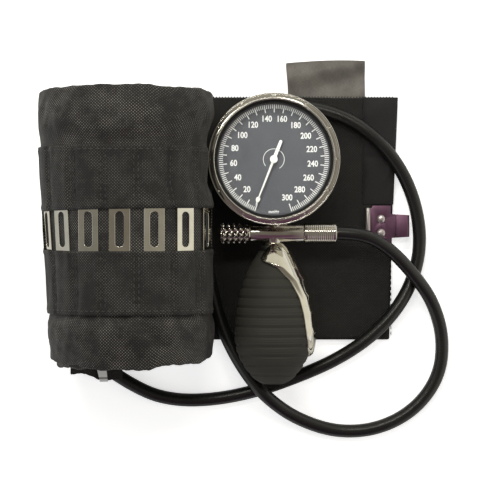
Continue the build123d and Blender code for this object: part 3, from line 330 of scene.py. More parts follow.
# Where each puffed band starts, is full, begins to thin and ends, from the middle outwards.
upper_band, lower_band = (0.0450, 0.0540, 0.0600, 0.0735), (0.0404, 0.0462, 0.0490, 0.0680)
long_fold, cross_fold, long_crease, cross_crease, flat_wave = 0.0044, 0.0024, 0.0010, 0.0005, 0.0004
seam_deep, seam_half = 0.0007, 0.0008


def fold(u, v, angle, width, seed):
    """Height from 0 to 1 of long soft folds that run at an angle across the cloth."""
    c, s = math.cos(math.radians(angle)), math.sin(math.radians(angle))
    p = Vector(((u * c + v * s) / (6 * width), (v * c - u * s) / width, seed))
    return 0.5 + 0.5 * noise.noise(p)


def cloth_relief(u, v):
    """How far the strip's outer face stands off: two puffed bands and the folds in them."""
    rolled = ease(u, tail_run - 0.01, tail_run + 0.03) * ease(-u, -right_run - 0.01, -right_run + 0.03)
    facing_up = ease(u, left_run - 0.070, left_run - 0.020) * ease(-u, -top_run - 0.070, -top_run - 0.020)
    high = ease(v, *upper_band[:2]) * (1 - 0.6 * ease(v, *upper_band[2:]))
    low = ease(-v, *lower_band[:2]) * (1 - 0.8 * ease(-v, *lower_band[2:]))
    swell = (0.0006 + puff_high * facing_up) * high + (0.0005 + puff_low * facing_up) * low
    folds = ((fold(u, v, -52, 0.0080, 3.1) - 0.5) * long_fold
             + (fold(u, v, 62, 0.0045, 8.4) - 0.5) * cross_fold)
    creases = ((fold(u, v, 80, 0.0022, 1.4) - 0.5) * long_crease
               + (fold(u, v, 8, 0.0018, 4.6) - 0.5) * cross_crease)
    flat = (fold(u, v, 15, 0.03, 5.7) - 0.5) * flat_wave
    loose = (high + low) * (0.25 + 0.75 * facing_up)
    sewn = -seam_deep * math.exp(-((u - tail_seam_run) / seam_half) ** 2)
    return rolled * (swell + loose * (folds + creases)) + (flat + sewn) * (1 - rolled)


def flat_cloth(bm, run, wide, step, thickness):
    """Doubled cloth cut flat, as a slab with rounded edges, outer face up at height 0."""
    bmesh.ops.create_grid(bm, x_segments=round(run / step), y_segments=round(wide / step), size=0.5)
    bmesh.ops.scale(bm, vec=(run, wide, 1), verts=bm.verts)
    bmesh.ops.solidify(bm, geom=bm.faces[:], thickness=thickness)
    low = min(v.co.z for v in bm.verts)
    high = max(v.co.z for v in bm.verts)
    bmesh.ops.translate(bm, vec=(0, 0, -high), verts=bm.verts)
    rim = [e for e in bm.edges if len(e.link_faces) == 2
           and e.link_faces[0].normal.angle(e.link_faces[1].normal, 0) > 1.2]
    bmesh.ops.bevel(bm, geom=rim, offset=(high - low) * 0.42, segments=3, profile=0.5,
                    affect="EDGES", material=-1)


def lay_weave(bm, wide=1.0, long=1.0, start=0.0):
    """Keeps the flat cut as the piece's UV map, in metres, so that the weave follows the cloth."""
    cut = bm.loops.layers.uv.new("cut")
    for face in bm.faces:
        for loop in face.loops:
            loop[cut].uv = (loop.vert.co.x * wide, (loop.vert.co.y + start) * long)


# How many bands a wave texture of scale 1 draws in one unit.
bands_to_the_unit = 3.2


def nylon_twill(name, base, thread, pitch_mm, sheen, plain_to=0.0):
    """Black nylon twill: crossing diagonal ribs with a painted highlight on their threads in patches, a
    faint sheen.

    Real threads are about 0.3 mm apart. The pitch is coarser, so that they show at this size.
    """
    material, tree = new_material(name)
    streak_mm = 14
    cut = add_node(tree, "ShaderNodeUVMap", uv_map="cut").outputs[0]
    ribs = []
    for angle, detail in ((45, 1.0), (-45, 2.0)):
        turned = add_node(tree, "ShaderNodeMapping", {"Vector": cut}, Rotation=(0, 0, math.radians(angle)))
        ribs.append(add_node(tree, "ShaderNodeTexWave", {"Vector": turned.outputs[0]}, Distortion=1.2,
                             Scale=1000 / pitch_mm / bands_to_the_unit, Detail=detail,
                             Detail_Scale=1.5 if angle > 0 else 1.0).outputs["Fac"])
    streak = add_node(tree, "ShaderNodeTexNoise", {"Vector": cut}, Scale=1000 / streak_mm, Detail=8.0,
                      Roughness=0.74)
    patch = add_node(tree, "ShaderNodeMapRange", {0: streak.outputs[0]}, From_Min=0.42, From_Max=0.62,
                     To_Min=0.12)
    # Along the strip the painted highlight is faint up to plain_to and full beyond it.
    along = add_node(tree, "ShaderNodeSeparateXYZ", {0: cut}).outputs["X"]
    worn = add_node(tree, "ShaderNodeMapRange", {0: along}, From_Min=plain_to, From_Max=plain_to + 0.03,
                    To_Min=0.12)
    lit = add_node(tree, "ShaderNodeMath", {0: patch.outputs[0], 1: worn.outputs[0]}, operation="MULTIPLY")
    weave = add_node(tree, "ShaderNodeMath", {0: ribs[0], 1: ribs[1]}, operation="MULTIPLY")
    raised = add_node(tree, "ShaderNodeMath", {0: weave.outputs[0]}, operation="POWER")
    raised.inputs[1].default_value = 2.3
    lift = add_node(tree, "ShaderNodeMath", {0: raised.outputs[0], 1: lit.outputs[0]}, operation="MULTIPLY")
    # The raised threads take the thread colour, their painted highlight; base is the dark cloth.
    colour = add_node(tree, "ShaderNodeMix", {0: lift.outputs[0], 6: base, 7: thread}, data_type="RGBA")
    bump = add_node(tree, "ShaderNodeBump", {"Height": weave.outputs[0]}, Strength=0.6, Distance=0.0003)
    surface = add_node(tree, "ShaderNodeBsdfPrincipled",
                       {"Base Color": colour.outputs[2], "Normal": bump.outputs[0]}, Roughness=0.62,
                       Sheen_Weight=sheen, Sheen_Roughness=0.45)
    add_node(tree, "ShaderNodeOutputMaterial", {"Surface": surface.outputs[0]})
    return material


# The light thread colour is a painted highlight on the raised threads, faint along the tail.
cuff_nylon = nylon_twill("woven nylon twill", "#0c0c0b", "#aba69d", 1.05, 0.02, 0.11)
strip_step = 0.0016
bm = bmesh.new()
flat_cloth(bm, strip_run, cloth_high_y - cloth_low_y, strip_step, tail_thick)
bmesh.ops.translate(bm, vec=(strip_run / 2, (cloth_high_y + cloth_low_y) / 2, 0), verts=bm.verts)
lay_weave(bm)
for vert in bm.verts:
    u, v, w = vert.co
    thick = tail_thick + (roll_thick - tail_thick) * ease(u, thick_from - 0.002, thick_from + 0.012)
    w *= thick / tail_thick
    relief = cloth_relief(u, v) * (1 - ease(-w, 0, thick))
    slant = tail_slant * (cloth_high_y - v) / tail_wide * (1 - ease(u, 0, 0.05))
    vert.co = on_roll(u + slant, strip_y(u, v), w + relief)
bmesh.ops.recalc_face_normals(bm, faces=bm.faces)
cuff = in_scene("cuff_cloth_strip", bm, cuff_nylon)
fitted(cuff, hand_piece, "cuff_sleeve")


# BLADDER
# The air bag of the cuff: two sheets of black rubber welded at the rim, in the pocket of the rolled
# stretch. Its flat neck comes out of the cuff's lower edge, where a moulded port takes the hose.

bag_from, bag_to, bag_wide, bag_middle_y = top_run + 0.006, strip_run - 0.002, 0.1255, 0.003
neck_long, neck_wide, neck_y = 0.010, 0.0105, -0.0620
neck_spot = right_run + (roll_right_x - roll_left_x) + 0.0082
bag_thick, bag_under = 0.0016, 0.00145


def merge(bm, other):
    """Adds a second finished shape to the first."""
    mesh = bpy.data.meshes.new("added")
    other.to_mesh(mesh)
    other.free()
    bm.from_mesh(mesh)


def rolled_bag(run, wide, step, spot, y):
    """Two welded sheets cut flat, then rolled up inside the strip around a spot on it."""
    bm = bmesh.new()
    flat_cloth(bm, run, wide, step, bag_thick)
    bmesh.ops.translate(bm, vec=(spot, y, -bag_under), verts=bm.verts)
    for vert in bm.verts:
        vert.co = on_roll(*vert.co)
    return bm


def paint(node, material):
    """Gives a piece that keeps its CAD shape its real finish."""
    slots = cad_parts[node].data.materials
    slots.clear()
    slots.append(material)


bladder_rubber = black_rubber("calendered bladder rubber", "#1d1d1d", "#2b2a29", 0.6, 0.55)
bm = rolled_bag(bag_to - bag_from, bag_wide, 0.0040, (bag_from + bag_to) / 2, bag_middle_y)
merge(bm, rolled_bag(neck_long, neck_wide, 0.0025, neck_spot, neck_y))
bmesh.ops.recalc_face_normals(bm, faces=bm.faces)
bladder = in_scene("bladder_bag", bm, bladder_rubber)
fitted(bladder, hand_piece, "bladder")
paint("bladder_port", black_rubber("moulded port rubber", "#1a1a1a", "#262625", 0.5, 0.5))


# STAY PANEL
# A second layer of the same twill, stitched over the roll's upper side in seven channels. Each
# channel holds one steel stay, and a window across the panel leaves the stays' slots open.

# The same twill as the cuff's: its thread colour, a painted highlight, is darker here as painted shade.
panel_cloth = nylon_twill("stitched nylon twill", "#0b0b0a", "#86827b", 1.05, 0.02)
panel_thick, panel_step, panel_margin = 0.0005, 0.0009, 0.003
panel_wide, panel_long = 2 * panel_half, panel_high_y - panel_low_y
panel_floor, panel_clear = 0.0001, 0.00008
ridge_high, valley_high, hem_high, lip_high = 0.0012, 0.0006, 0.0004, 0.0005
hem_in, hem_half, lip_out, lip_half = 0.0022, 0.0016, 0.0014, 0.0011
crease_high, pucker_high, pull_high = 0.0007, 0.00055, 0.0009


def panel_height(u, v):
    """Outer face of the panel over the strip: a ridge over each stay, valleys where it is sewn."""
    off = min(abs(u - panel_middle - spot) for spot in stay_spots)
    ridge = 1 - ease(off, stay_half - 0.0002, stay_half + 0.0021)
    shape = valley_high + ridge_high * ridge
    crease = (fold(u, v, 80, 0.0035, 2.2) - 0.5) * crease_high * (0.4 + ridge)
    crease += (1 - ridge) * pucker_high * noise.noise(Vector((u / 0.0013, v / 0.0019, 4.2)))
    pulled = ease(-v, 0.006, 0.012) * math.exp(-((u - panel_middle + 0.0035) / 0.006) ** 2)
    crease += pulled * pull_high * (fold(u, v, 80, 0.0016, 6.3) - 0.5)
    rim = (ease(u - panel_middle + panel_half, 0, panel_margin)
           * ease(panel_half - u + panel_middle, 0, panel_margin))
    edge = min(v - panel_low_y, panel_high_y - v)
    hem = hem_high * math.exp(-((edge - hem_in) / hem_half) ** 2) * (1 - 0.4 * ridge)
    at_window = abs(v - window_y) - window_half
    lip = lip_high * math.exp(-((at_window - lip_out) / lip_half) ** 2) if at_window > -0.0006 else 0
    return panel_floor + (shape + crease) * (0.35 + 0.65 * rim) + hem + lip


bm = bmesh.new()
bmesh.ops.create_grid(bm, x_segments=round(panel_wide / panel_step),
                      y_segments=round(panel_long / panel_step), size=0.5)
bmesh.ops.scale(bm, vec=(panel_wide, panel_long, 1), verts=bm.verts)
bmesh.ops.translate(bm, vec=(panel_middle, (panel_high_y + panel_low_y) / 2, 0), verts=bm.verts)
inside = [f for f in bm.faces if abs(f.calc_center_median().y - window_y) < window_half
          and abs(f.calc_center_median().x - panel_middle) < panel_half - panel_margin]
bmesh.ops.delete(bm, geom=inside, context="FACES")
bmesh.ops.solidify(bm, geom=bm.faces[:], thickness=panel_thick)
top = max(v.co.z for v in bm.verts)
bmesh.ops.translate(bm, vec=(0, 0, -top), verts=bm.verts)
lay_weave(bm)
for vert in bm.verts:
    u, v, w = vert.co
    lean = (u - panel_middle) / panel_half
    pull = 0.0010 * lean if v > window_y else 0.0015 * max(abs(lean + 0.05) - 0.45, 0)
    pull *= math.exp(-(max(abs(v - window_y) - window_half, 0) / 0.007) ** 2)
    vert.co = on_roll(u, strip_y(u, v) + pull, max(panel_height(u, v) + w, panel_clear))
bmesh.ops.recalc_face_normals(bm, faces=bm.faces)
panel = in_scene("stay_channel_panel", bm, panel_cloth)
fitted(panel, hand_piece, "stay_panel")


# STAYS
# Seven strips of spring steel, punched with a slot and chrome plated. They stiffen the panel, and
# the hook goes into whichever slot the arm's girth calls for.

def plated_steel(name, bright, dull, roughness, smear_mm):
    """Polished chrome on steel: mirror bright, with faint smears and fine wiping marks."""
    material, tree = new_material(name)
    spot = add_node(tree, "ShaderNodeTexCoord").outputs["Object"]
    mark_mm = 2
    smear = add_node(tree, "ShaderNodeTexNoise", {"Vector": spot}, Scale=1000 / smear_mm, Detail=3.0)
    wiped = add_node(tree, "ShaderNodeMapping", {"Vector": spot}, Scale=(1, 12, 6)).outputs[0]
    marks = add_node(tree, "ShaderNodeTexNoise", {"Vector": wiped}, Scale=1000 / mark_mm, Detail=2.0)
    colour = add_node(tree, "ShaderNodeMix", {0: smear.outputs[0], 6: bright, 7: dull}, data_type="RGBA")
    rough = add_node(tree, "ShaderNodeMapRange", {0: smear.outputs[0]}, To_Min=roughness,
                     To_Max=roughness * 2.2)
    bump = add_node(tree, "ShaderNodeBump", {"Height": marks.outputs[0]}, Strength=0.015, Distance=0.0001)
    surface = add_node(tree, "ShaderNodeBsdfPrincipled",
                       {"Base Color": colour.outputs[2], "Roughness": rough.outputs[0],
                        "Normal": bump.outputs[0]}, Metallic=1.0)
    add_node(tree, "ShaderNodeOutputMaterial", {"Surface": surface.outputs[0]})
    return material


stay_chrome = plated_steel("chrome plated spring steel", "#e9e7dc", "#c9c5b4", 0.07, 9)
slot_half, slot_round_y, slot_rim_y = 0.0021, 0.0066, 0.0095
stay_long, stay_middle_y, stay_thick = 0.080, 0.0013, 0.0006
stay_corner, stay_edge, stay_out = 0.0025, 0.00024, 0.00042
stay_tilt = (1.5, 0.6, -0.9, 0.8, -0.4, 0.5, 5.0)
broken_edge_area = 3e-7


def laid_stay(bm, u, tilt):
    """Lays a flat stay in its channel. It bends only along its length, after the roll's side."""
    beside = [on_roll(u + step, window_y, stay_out) for step in (-0.002, 0.002)]
    along = (beside[1] - beside[0]).normalized()
    normal = along.cross(Vector((0, 1, 0))).normalized()
    c, s = math.cos(math.radians(tilt)), math.sin(math.radians(tilt))
    for vert in bm.verts:
        x, y, z = vert.co
        middle = on_roll(u, window_y + y, stay_out)
        vert.co = middle + along * (x * c + z * s) + normal * (z * c - x * s)


def slotted_plate():
    """One stay lying flat at the origin, its slot's middle there: rings and rows drawn to its outline."""
    bm = bmesh.new()
    around, rows = 16, 8
    slot, rim = [], []
    for number in range(2 * around):
        angle = math.pi * number / around
        x, y = slot_half * math.cos(angle), slot_half * math.sin(angle)
        slot.append(bm.verts.new((x, y + math.copysign(slot_round_y, math.sin(angle) + 1e-9), 0)))
        edge_y = slot_rim_y * math.copysign(1, math.sin(angle) + 1e-9)
        out_x = stay_half * max(-1, min(1, 1.6 * math.cos(angle)))
        rim.append(bm.verts.new((out_x, edge_y, 0)))
    for n in range(2 * around):
        m = (n + 1) % (2 * around)
        bm.faces.new((slot[n], rim[n], rim[m], slot[m]))
    for side in (1, -1):
        end_y = stay_middle_y - window_y + side * stay_long / 2
        row = [v for v in rim if v.co.y * side > 0]
        rim_y = abs(row[0].co.y)
        for step in range(1, rows + 1):
            y = side * rim_y + (end_y - side * rim_y) * step / rows
            drop = stay_corner if step == rows else 0
            far = [bm.verts.new((v.co.x, y - side * drop * (abs(v.co.x) / stay_half) ** 4, 0)) for v in row]
            for (a, b), (c, d) in zip(zip(row, row[1:]), zip(far, far[1:])):
                bm.faces.new((a, b, d, c))
            row = far
    bmesh.ops.recalc_face_normals(bm, faces=bm.faces)
    bmesh.ops.remove_doubles(bm, verts=bm.verts, dist=1e-6)
    bmesh.ops.solidify(bm, geom=bm.faces[:], thickness=stay_thick)
    hard = [e for e in bm.edges if len(e.link_faces) == 2 and e.calc_face_angle(0) > 1.2]
    bmesh.ops.bevel(bm, geom=hard, offset=stay_edge, segments=3, profile=0.5, affect="EDGES", material=-1)
    middle = (max(v.co.z for v in bm.verts) + min(v.co.z for v in bm.verts)) / 2
    bmesh.ops.translate(bm, vec=(0, 0, -middle), verts=bm.verts)
    bmesh.ops.recalc_face_normals(bm, faces=bm.faces)
    return bm


bm = bmesh.new()
for spot, tilt in zip(stay_spots, stay_tilt):
    plate = slotted_plate()
    laid_stay(plate, panel_middle + spot, tilt)
    merge(bm, plate)
bmesh.ops.recalc_face_normals(bm, faces=bm.faces)
stays = in_scene("slotted_stays", bm, stay_chrome)
for face in stays.data.polygons:
    face.use_smooth = face.area < broken_edge_area
fitted(stays, hand_piece, "closure_stays")


# SEAMS
# Lines of black polyester thread, sewn by machine: along the panel's edges and both sides of each
# channel, and along the tail's edges, where an overlock stitch binds the cut cloth.

stitch_long, stitch_gap, thread_half = 0.0019, 0.0011, 0.00024


def thread(name, dark, light):
    """Twisted polyester thread: fine turns along it, each with a painted highlight on the dark thread."""
    material, tree = new_material(name)
    twist_mm = 0.3472
    spot = add_node(tree, "ShaderNodeTexCoord").outputs["Object"]
    twist = add_node(tree, "ShaderNodeTexWave", {"Vector": spot}, Distortion=1.0,
                     Scale=1000 / twist_mm / bands_to_the_unit)
    colour = add_node(tree, "ShaderNodeMix", {0: twist.outputs["Fac"], 6: dark, 7: light},
                      data_type="RGBA")
    surface = add_node(tree, "ShaderNodeBsdfPrincipled", {"Base Color": colour.outputs[2]}, Roughness=0.45)
    add_node(tree, "ShaderNodeOutputMaterial", {"Surface": surface.outputs[0]})
    return material


def stitch(bm, start, end, out):
    """One stitch on the flat cloth from start to end, as a small pad that dips in at its ends."""
    along = Vector(end) - Vector(start)
    side = Vector((-along.y, along.x)).normalized() * thread_half
    rings, sides = [], 6
    for share, size, rise in ((0, 0.35, -0.4), (0.2, 1, 0.5), (0.8, 1, 0.5), (1, 0.35, -0.4)):
        middle = Vector(start) + along * share
        ring = []
        for turn in range(sides):
            angle = math.tau * turn / sides
            flat = middle + side * size * math.cos(angle)
            ring.append(bm.verts.new((*flat, out + thread_half * (size * math.sin(angle) + rise))))
        rings.append(ring)
    for a, b in zip(rings, rings[1:]):
        for n in range(sides):
            bm.faces.new((a[n], a[n - 1], b[n - 1], b[n]))
    bm.faces.new(rings[0])
    bm.faces.new(rings[-1][::-1])


def sewn_line(bm, start, end, out):
    """A run of stitches. out is a height, or gives one for a place on the flat cloth."""
    run = Vector(end) - Vector(start)
    count = int(run.length / (stitch_long + stitch_gap))
    for number in range(count):
        first = Vector(start) + run * (number / count)
        last = first + run.normalized() * stitch_long
        middle = (first + last) / 2
        stitch(bm, first, last, out(*middle) if callable(out) else out)


bm = bmesh.new()
panel_low_u = panel_middle - panel_half + panel_margin
panel_high_u = panel_middle + panel_half - panel_margin
edge_seam, seam_apart, seam_end, seam_to_window = 0.0022, 0.0011, 0.004, 0.002
for v in (panel_low_y + edge_seam, panel_high_y - edge_seam):
    sewn_line(bm, (panel_low_u, v), (panel_high_u, v), panel_height)
for left, right in zip(stay_spots, stay_spots[1:]):
    for side in (-1, 1):
        u = panel_middle + (left + right) / 2 + side * seam_apart
        for low, high in ((panel_low_y + seam_end, window_y - window_half - seam_to_window),
                          (window_y + window_half + seam_to_window, panel_high_y - seam_end)):
            sewn_line(bm, (u, low), (u, high), panel_height)
for vert in bm.verts:
    u, v, w = vert.co
    vert.co = on_roll(u, strip_y(u, v), w)
bmesh.ops.recalc_face_normals(bm, faces=bm.faces)
stitches = in_scene("panel_stitches", bm, thread("glossy polyester thread", "#181817", "#4a4845"))
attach(stitches, hand_piece)


def on_tail(x, y):
    """Place on the flat cloth of a point of the tail, its face turned up."""
    return tail_end_x - x, y


bm = bmesh.new()
tail_top, cloth_middle = -tail_thick, -0.0016
overlock_pitch, overlock_from_x, overlock_long = 0.0016, 0.064, 0.098
for start, end in (((0.0482, -0.0545), (0.0482, 0.0710)), ((0.0635, -0.0545), (0.0635, 0.0115)),
                   ((-0.030, -0.0550), (0.0625, -0.0550)), ((-0.030, 0.0705), (0.0630, 0.0705))):
    sewn_line(bm, on_tail(*start), on_tail(*end), tail_top)
for number in range(int(overlock_long / overlock_pitch)):
    x = overlock_from_x - number * overlock_pitch
    stitch(bm, on_tail(x, 0.0716), on_tail(x + 0.0006, 0.0736), tail_top)
    stitch(bm, on_tail(x, 0.0731), on_tail(x + 0.0008, 0.0731), cloth_middle)
for vert in bm.verts:
    u, v, w = vert.co
    vert.co = (tail_end_x - u, v, -w if w < cloth_middle + 0.0002 else -cloth_middle)
bmesh.ops.recalc_face_normals(bm, faces=bm.faces)
tail_seams = in_scene("tail_stitches", bm, thread("dull polyester thread", "#0e0e0e", "#232322"))
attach(tail_seams, hand_piece)


# HEM TAPE
# A second width of nylon sewn over the end of the tail. It covers the hook's top edge, and it is
# padded a little by the folded cloth under it.

tape_low_x, tape_low_y, tape_wide, tape_long = 0.0485, 0.0154, 0.0173, 0.0575
tape_thick, tape_pad, tape_ripple, tape_flare = 0.0006, 0.0013, 0.0022, 0.145
# The tape's outer face lies this much over the tail, and a line across it is sewn down.
tape_over, sewn_y, sewn_half = 0.00065, -0.0032, 0.0012
bm = bmesh.new()
flat_cloth(bm, tape_wide, tape_long, 0.0012, tape_thick)
lay_weave(bm)
for vert in bm.verts:
    x, y, z = vert.co
    free = (1 - (abs(2 * x) / tape_wide) ** 4) * (1 - (abs(2 * y) / tape_long) ** 6)
    pad = tape_pad * free * (1 if z > -tape_thick / 2 else 0)
    pad *= 1 - 0.8 * math.exp(-((y - sewn_y) / sewn_half) ** 2)
    ripple = tape_ripple * (fold(x, y, 64, 0.0045, 9.2) - 0.5) * free
    x = tape_low_x + (x + tape_wide / 2) * (0.94 + tape_flare * (y / tape_long + 0.5))
    vert.co = (x, y + tape_low_y + tape_long / 2, z + tail_thick + tape_over + pad + ripple)
bmesh.ops.recalc_face_normals(bm, faces=bm.faces)
# The light thread colour is a painted highlight on the raised threads.
tape_cloth = nylon_twill("folded nylon tape", "#131214", "#4a4950", 0.9, 0.12)
tape = in_scene("end_hem_tape", bm, tape_cloth)
fitted(tape, hand_piece, "tail_hem")


# PULL TAB
# Woven grey satin ribbon with a cut and melted end, sewn into the tail's upper edge. It lies
# in shallow waves.

# Satin: fine yarns across the ribbon, lightened in patches by a painted sheen, and a real sheen that runs
# with them.
yarn_mm, sheen_patch_mm = 1.2, 12
satin, tree = new_material("grey satin ribbon")
cut = add_node(tree, "ShaderNodeUVMap", uv_map="cut").outputs[0]
fine = add_node(tree, "ShaderNodeMapping", {"Vector": cut}, Scale=(1, 9, 1)).outputs[0]
yarn = add_node(tree, "ShaderNodeTexNoise", {"Vector": fine}, Scale=1000 / yarn_mm, Detail=3.0)
# Patches of painted sheen: where they and the yarns meet, the ribbon is painted light.
worn = add_node(tree, "ShaderNodeTexNoise", {"Vector": cut}, Scale=1000 / sheen_patch_mm, Detail=3.0)
mixed = add_node(tree, "ShaderNodeMath", {0: yarn.outputs[0], 1: worn.outputs[0]}, operation="MULTIPLY")
colour = add_node(tree, "ShaderNodeMix", {0: mixed.outputs[0], 6: "#2c2a28", 7: "#b1aba3"},
                  data_type="RGBA")
bump = add_node(tree, "ShaderNodeBump", {"Height": yarn.outputs[0]}, Strength=0.3, Distance=0.0001)
surface = add_node(tree, "ShaderNodeBsdfPrincipled", {"Base Color": colour.outputs[2],
                   "Normal": bump.outputs[0]}, Roughness=0.5, Anisotropic=0.5)
add_node(tree, "ShaderNodeOutputMaterial", {"Surface": surface.outputs[0]})
tab_wide, tab_long, tab_thick = 0.0413, 0.0249, 0.0007
tab_x, tab_y, tab_z = 0.02895, 0.08045, 0.0024
wave_high, wave_pitch, wave_start, wave_slant = 0.0013, 0.0175, 0.0150, 0.24
edge_high, edge_in, bow_deep, side_in = 0.0006, 0.0012, 0.0009, 0.0010
bm = bmesh.new()
flat_cloth(bm, tab_wide, tab_long, 0.0008, tab_thick)
lay_weave(bm)
for vert in bm.verts:
    x, y, z = vert.co
    free = ease(y, -0.0060, 0.0125)
    wave = math.sin(math.tau * (y - wave_slant * x + wave_start) / wave_pitch)
    edge = edge_high * math.exp(-((x - tab_wide / 2 + edge_in) / 0.0006) ** 2)
    bow = -bow_deep * (x / (tab_wide / 2) - 0.25) ** 2 * free
    vert.co = (x + tab_x - side_in * free * ease(-x, 0.010, 0.021), y + tab_y + bow,
               z + tab_z + wave_high * wave * (0.25 + 0.75 * free) + edge * free)
bmesh.ops.recalc_face_normals(bm, faces=bm.faces)
tab = in_scene("satin_pull_tab", bm, satin)
fitted(tab, hand_piece, "pull_tab")


# OUTLET FLAP
# The raw end of the inner cloth, left longer than the rest to cover the bladder's outlet. A white
# woven care label, left blank, is sewn on beside the hose.

def roll_floor(x, depth):
    """Height of the inner turn's inside face at a place along the table, under the arm space."""
    reach = inner_radius - depth
    if x > roll_left_x:
        return lifted_z + depth
    return left_radius - math.sqrt(max(reach ** 2 - (roll_left_x - x) ** 2, 1e-8))


flap_left_x, flap_right_x, flap_root_y = -0.1064, -0.080, -0.060
flap_end_y, flap_drop, flap_long = -0.0742, 0.0038, 0.0172
flap_depth, flap_thick = roll_thick + 0.0001, 0.0008
flap_ripple, ragged_deep, ragged_long = 0.0006, 0.0005, 0.0016
# Flap and label start as slabs one unit wide and long, with these thicknesses.
flat_thick, label_flat_thick = 0.02, 0.05


def flap_edge(x):
    """Ragged lower edge of the flap."""
    ragged = ragged_deep * noise.noise(Vector((x / ragged_long, 7.7, 0)))
    return flap_end_y - flap_drop * ease(x, -0.101, -0.091) + ragged


bm = bmesh.new()
flat_cloth(bm, 1.0, 1.0, 0.03, flat_thick)
for vert in bm.verts:
    along, across = vert.co.x + 0.5, vert.co.y + 0.5
    x = flap_left_x + (flap_right_x - flap_left_x) * along
    y = flap_edge(x) + (flap_root_y - flap_edge(x)) * across
    outer = flap_depth + flap_thick * (1 + vert.co.z / flat_thick)
    ripple = flap_ripple * (fold(x, y, 30, 0.004, 2.9) - 0.5) * (1 - across)
    vert.co = (x, y, roll_floor(x, outer) + ripple)
lay_weave(bm)
bmesh.ops.recalc_face_normals(bm, faces=bm.faces)
flap = in_scene("bladder_outlet_flap", bm, cuff_nylon)
fitted(flap, hand_piece, "outlet_flap")

# Woven polyester satin: clean white with a fine grain, and one grey line of stitches near its end.
thread_mm = 0.3
label_cloth, tree = new_material("white woven label")
cut = add_node(tree, "ShaderNodeUVMap", uv_map="cut").outputs[0]
threads = add_node(tree, "ShaderNodeTexNoise", {"Vector": cut}, Scale=1000 / thread_mm, Detail=2.0)
down = add_node(tree, "ShaderNodeSeparateXYZ", {0: cut}).outputs["Y"]
white = add_node(tree, "ShaderNodeMix", {0: threads.outputs[0], 6: "#f0f0ee", 7: "#ffffff"},
                 data_type="RGBA")
below, above = (add_node(tree, "ShaderNodeMapRange", {0: down}, interpolation_type="SMOOTHSTEP",
                         From_Min=outside, From_Max=inside).outputs[0]
                for outside, inside in ((0.0012, 0.0018), (0.0028, 0.0022)))
line = add_node(tree, "ShaderNodeMath", {0: below, 1: above}, operation="MULTIPLY")
colour = add_node(tree, "ShaderNodeMix", {0: line.outputs[0], 6: white.outputs[2], 7: "#8c8c8a"},
                  data_type="RGBA")
bump = add_node(tree, "ShaderNodeBump", {"Height": threads.outputs[0]}, Strength=0.3, Distance=0.0001)
surface = add_node(tree, "ShaderNodeBsdfPrincipled",
                   {"Base Color": colour.outputs[2], "Normal": bump.outputs[0]}, Roughness=0.7)
add_node(tree, "ShaderNodeOutputMaterial", {"Surface": surface.outputs[0]})
label_top_y, label_long, label_wide, label_thick = -0.0640, 0.0149, 0.0055, 0.0004
label_left_x, label_right_x = (-0.0950, -0.0918), (-0.0894, -0.0876)
label_off, label_curl = 0.00045, 0.0007
bm = bmesh.new()
flat_cloth(bm, 1.0, 1.0, 0.08, label_flat_thick)
lay_weave(bm, label_wide, label_long, 0.5)
for vert in bm.verts:
    along, down = vert.co.x + 0.5, 0.5 - vert.co.y
    left, right = (top + (end - top) * down for top, end in (label_left_x, label_right_x))
    x = left + (right - left) * along
    outer = flap_depth + flap_thick + label_off + label_thick * (1 + vert.co.z / label_flat_thick)
    vert.co = (x, label_top_y - label_long * down,
               roll_floor(x, outer) + label_curl * math.sin(3.2 * down) * down)
bmesh.ops.recalc_face_normals(bm, faces=bm.faces)
label = in_scene("blank_care_label", bm, label_cloth)
fitted(label, hand_piece, "care_label")


# HOOK
# A pressed steel plate riveted to the cuff's end. Its tongue is folded back on itself and drops
# into a stay's slot, and a rolled bead along the other side gives the finger a hold.

def broken_edges(name, node, edge, material, body):
    """A machined or pressed piece as the CAD has it, with its hard edges rounded off."""
    bm = bmesh.new()
    bm.from_mesh(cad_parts[node].data)
    hard_from = math.radians(38)
    bmesh.ops.remove_doubles(bm, verts=bm.verts, dist=2e-6)
    bmesh.ops.dissolve_limit(bm, angle_limit=math.radians(1), verts=bm.verts, edges=bm.edges)
    hard = [e for e in bm.edges if len(e.link_faces) == 2 and e.calc_face_angle(0) > hard_from]
    bmesh.ops.bevel(bm, geom=hard, offset=edge, segments=2, profile=0.5, affect="EDGES",
                    material=-1, clamp_overlap=True)
    for e in bm.edges:
        e.smooth = len(e.link_faces) == 2 and e.calc_face_angle(0) < hard_from
    piece = in_scene(name, bm, material)
    fitted(piece, body, node)
    return piece


hook_edge, bead_right_x = 0.00022, 0.0531
tongue_x, tongue_end_x, tongue_y, tongue_taper = 0.0633, 0.0732, 0.00395, 0.10
# The plate mirrors plum cloth, so it is tinted. The bead and the rivets catch the lamps instead.
hook_chrome = plated_steel("chrome plated pressed steel", "#97748c", "#69495e", 0.30, 7)
rivet_steel = plated_steel("polished rivet steel", "#f2eded", "#cbc3c3", 0.24, 3)
hook = broken_edges("hook_with_tongue", "hook_plate", hook_edge, hook_chrome, hand_piece)
hook.data.materials.append(rivet_steel)
for vert in hook.data.vertices:
    along = max((vert.co.x - tongue_x) / (tongue_end_x - tongue_x), 0)
    vert.co.y = tongue_y + (vert.co.y - tongue_y) * (1 - tongue_taper * along)
for face in hook.data.polygons:
    face.material_index = 1 if face.center.x < bead_right_x else 0


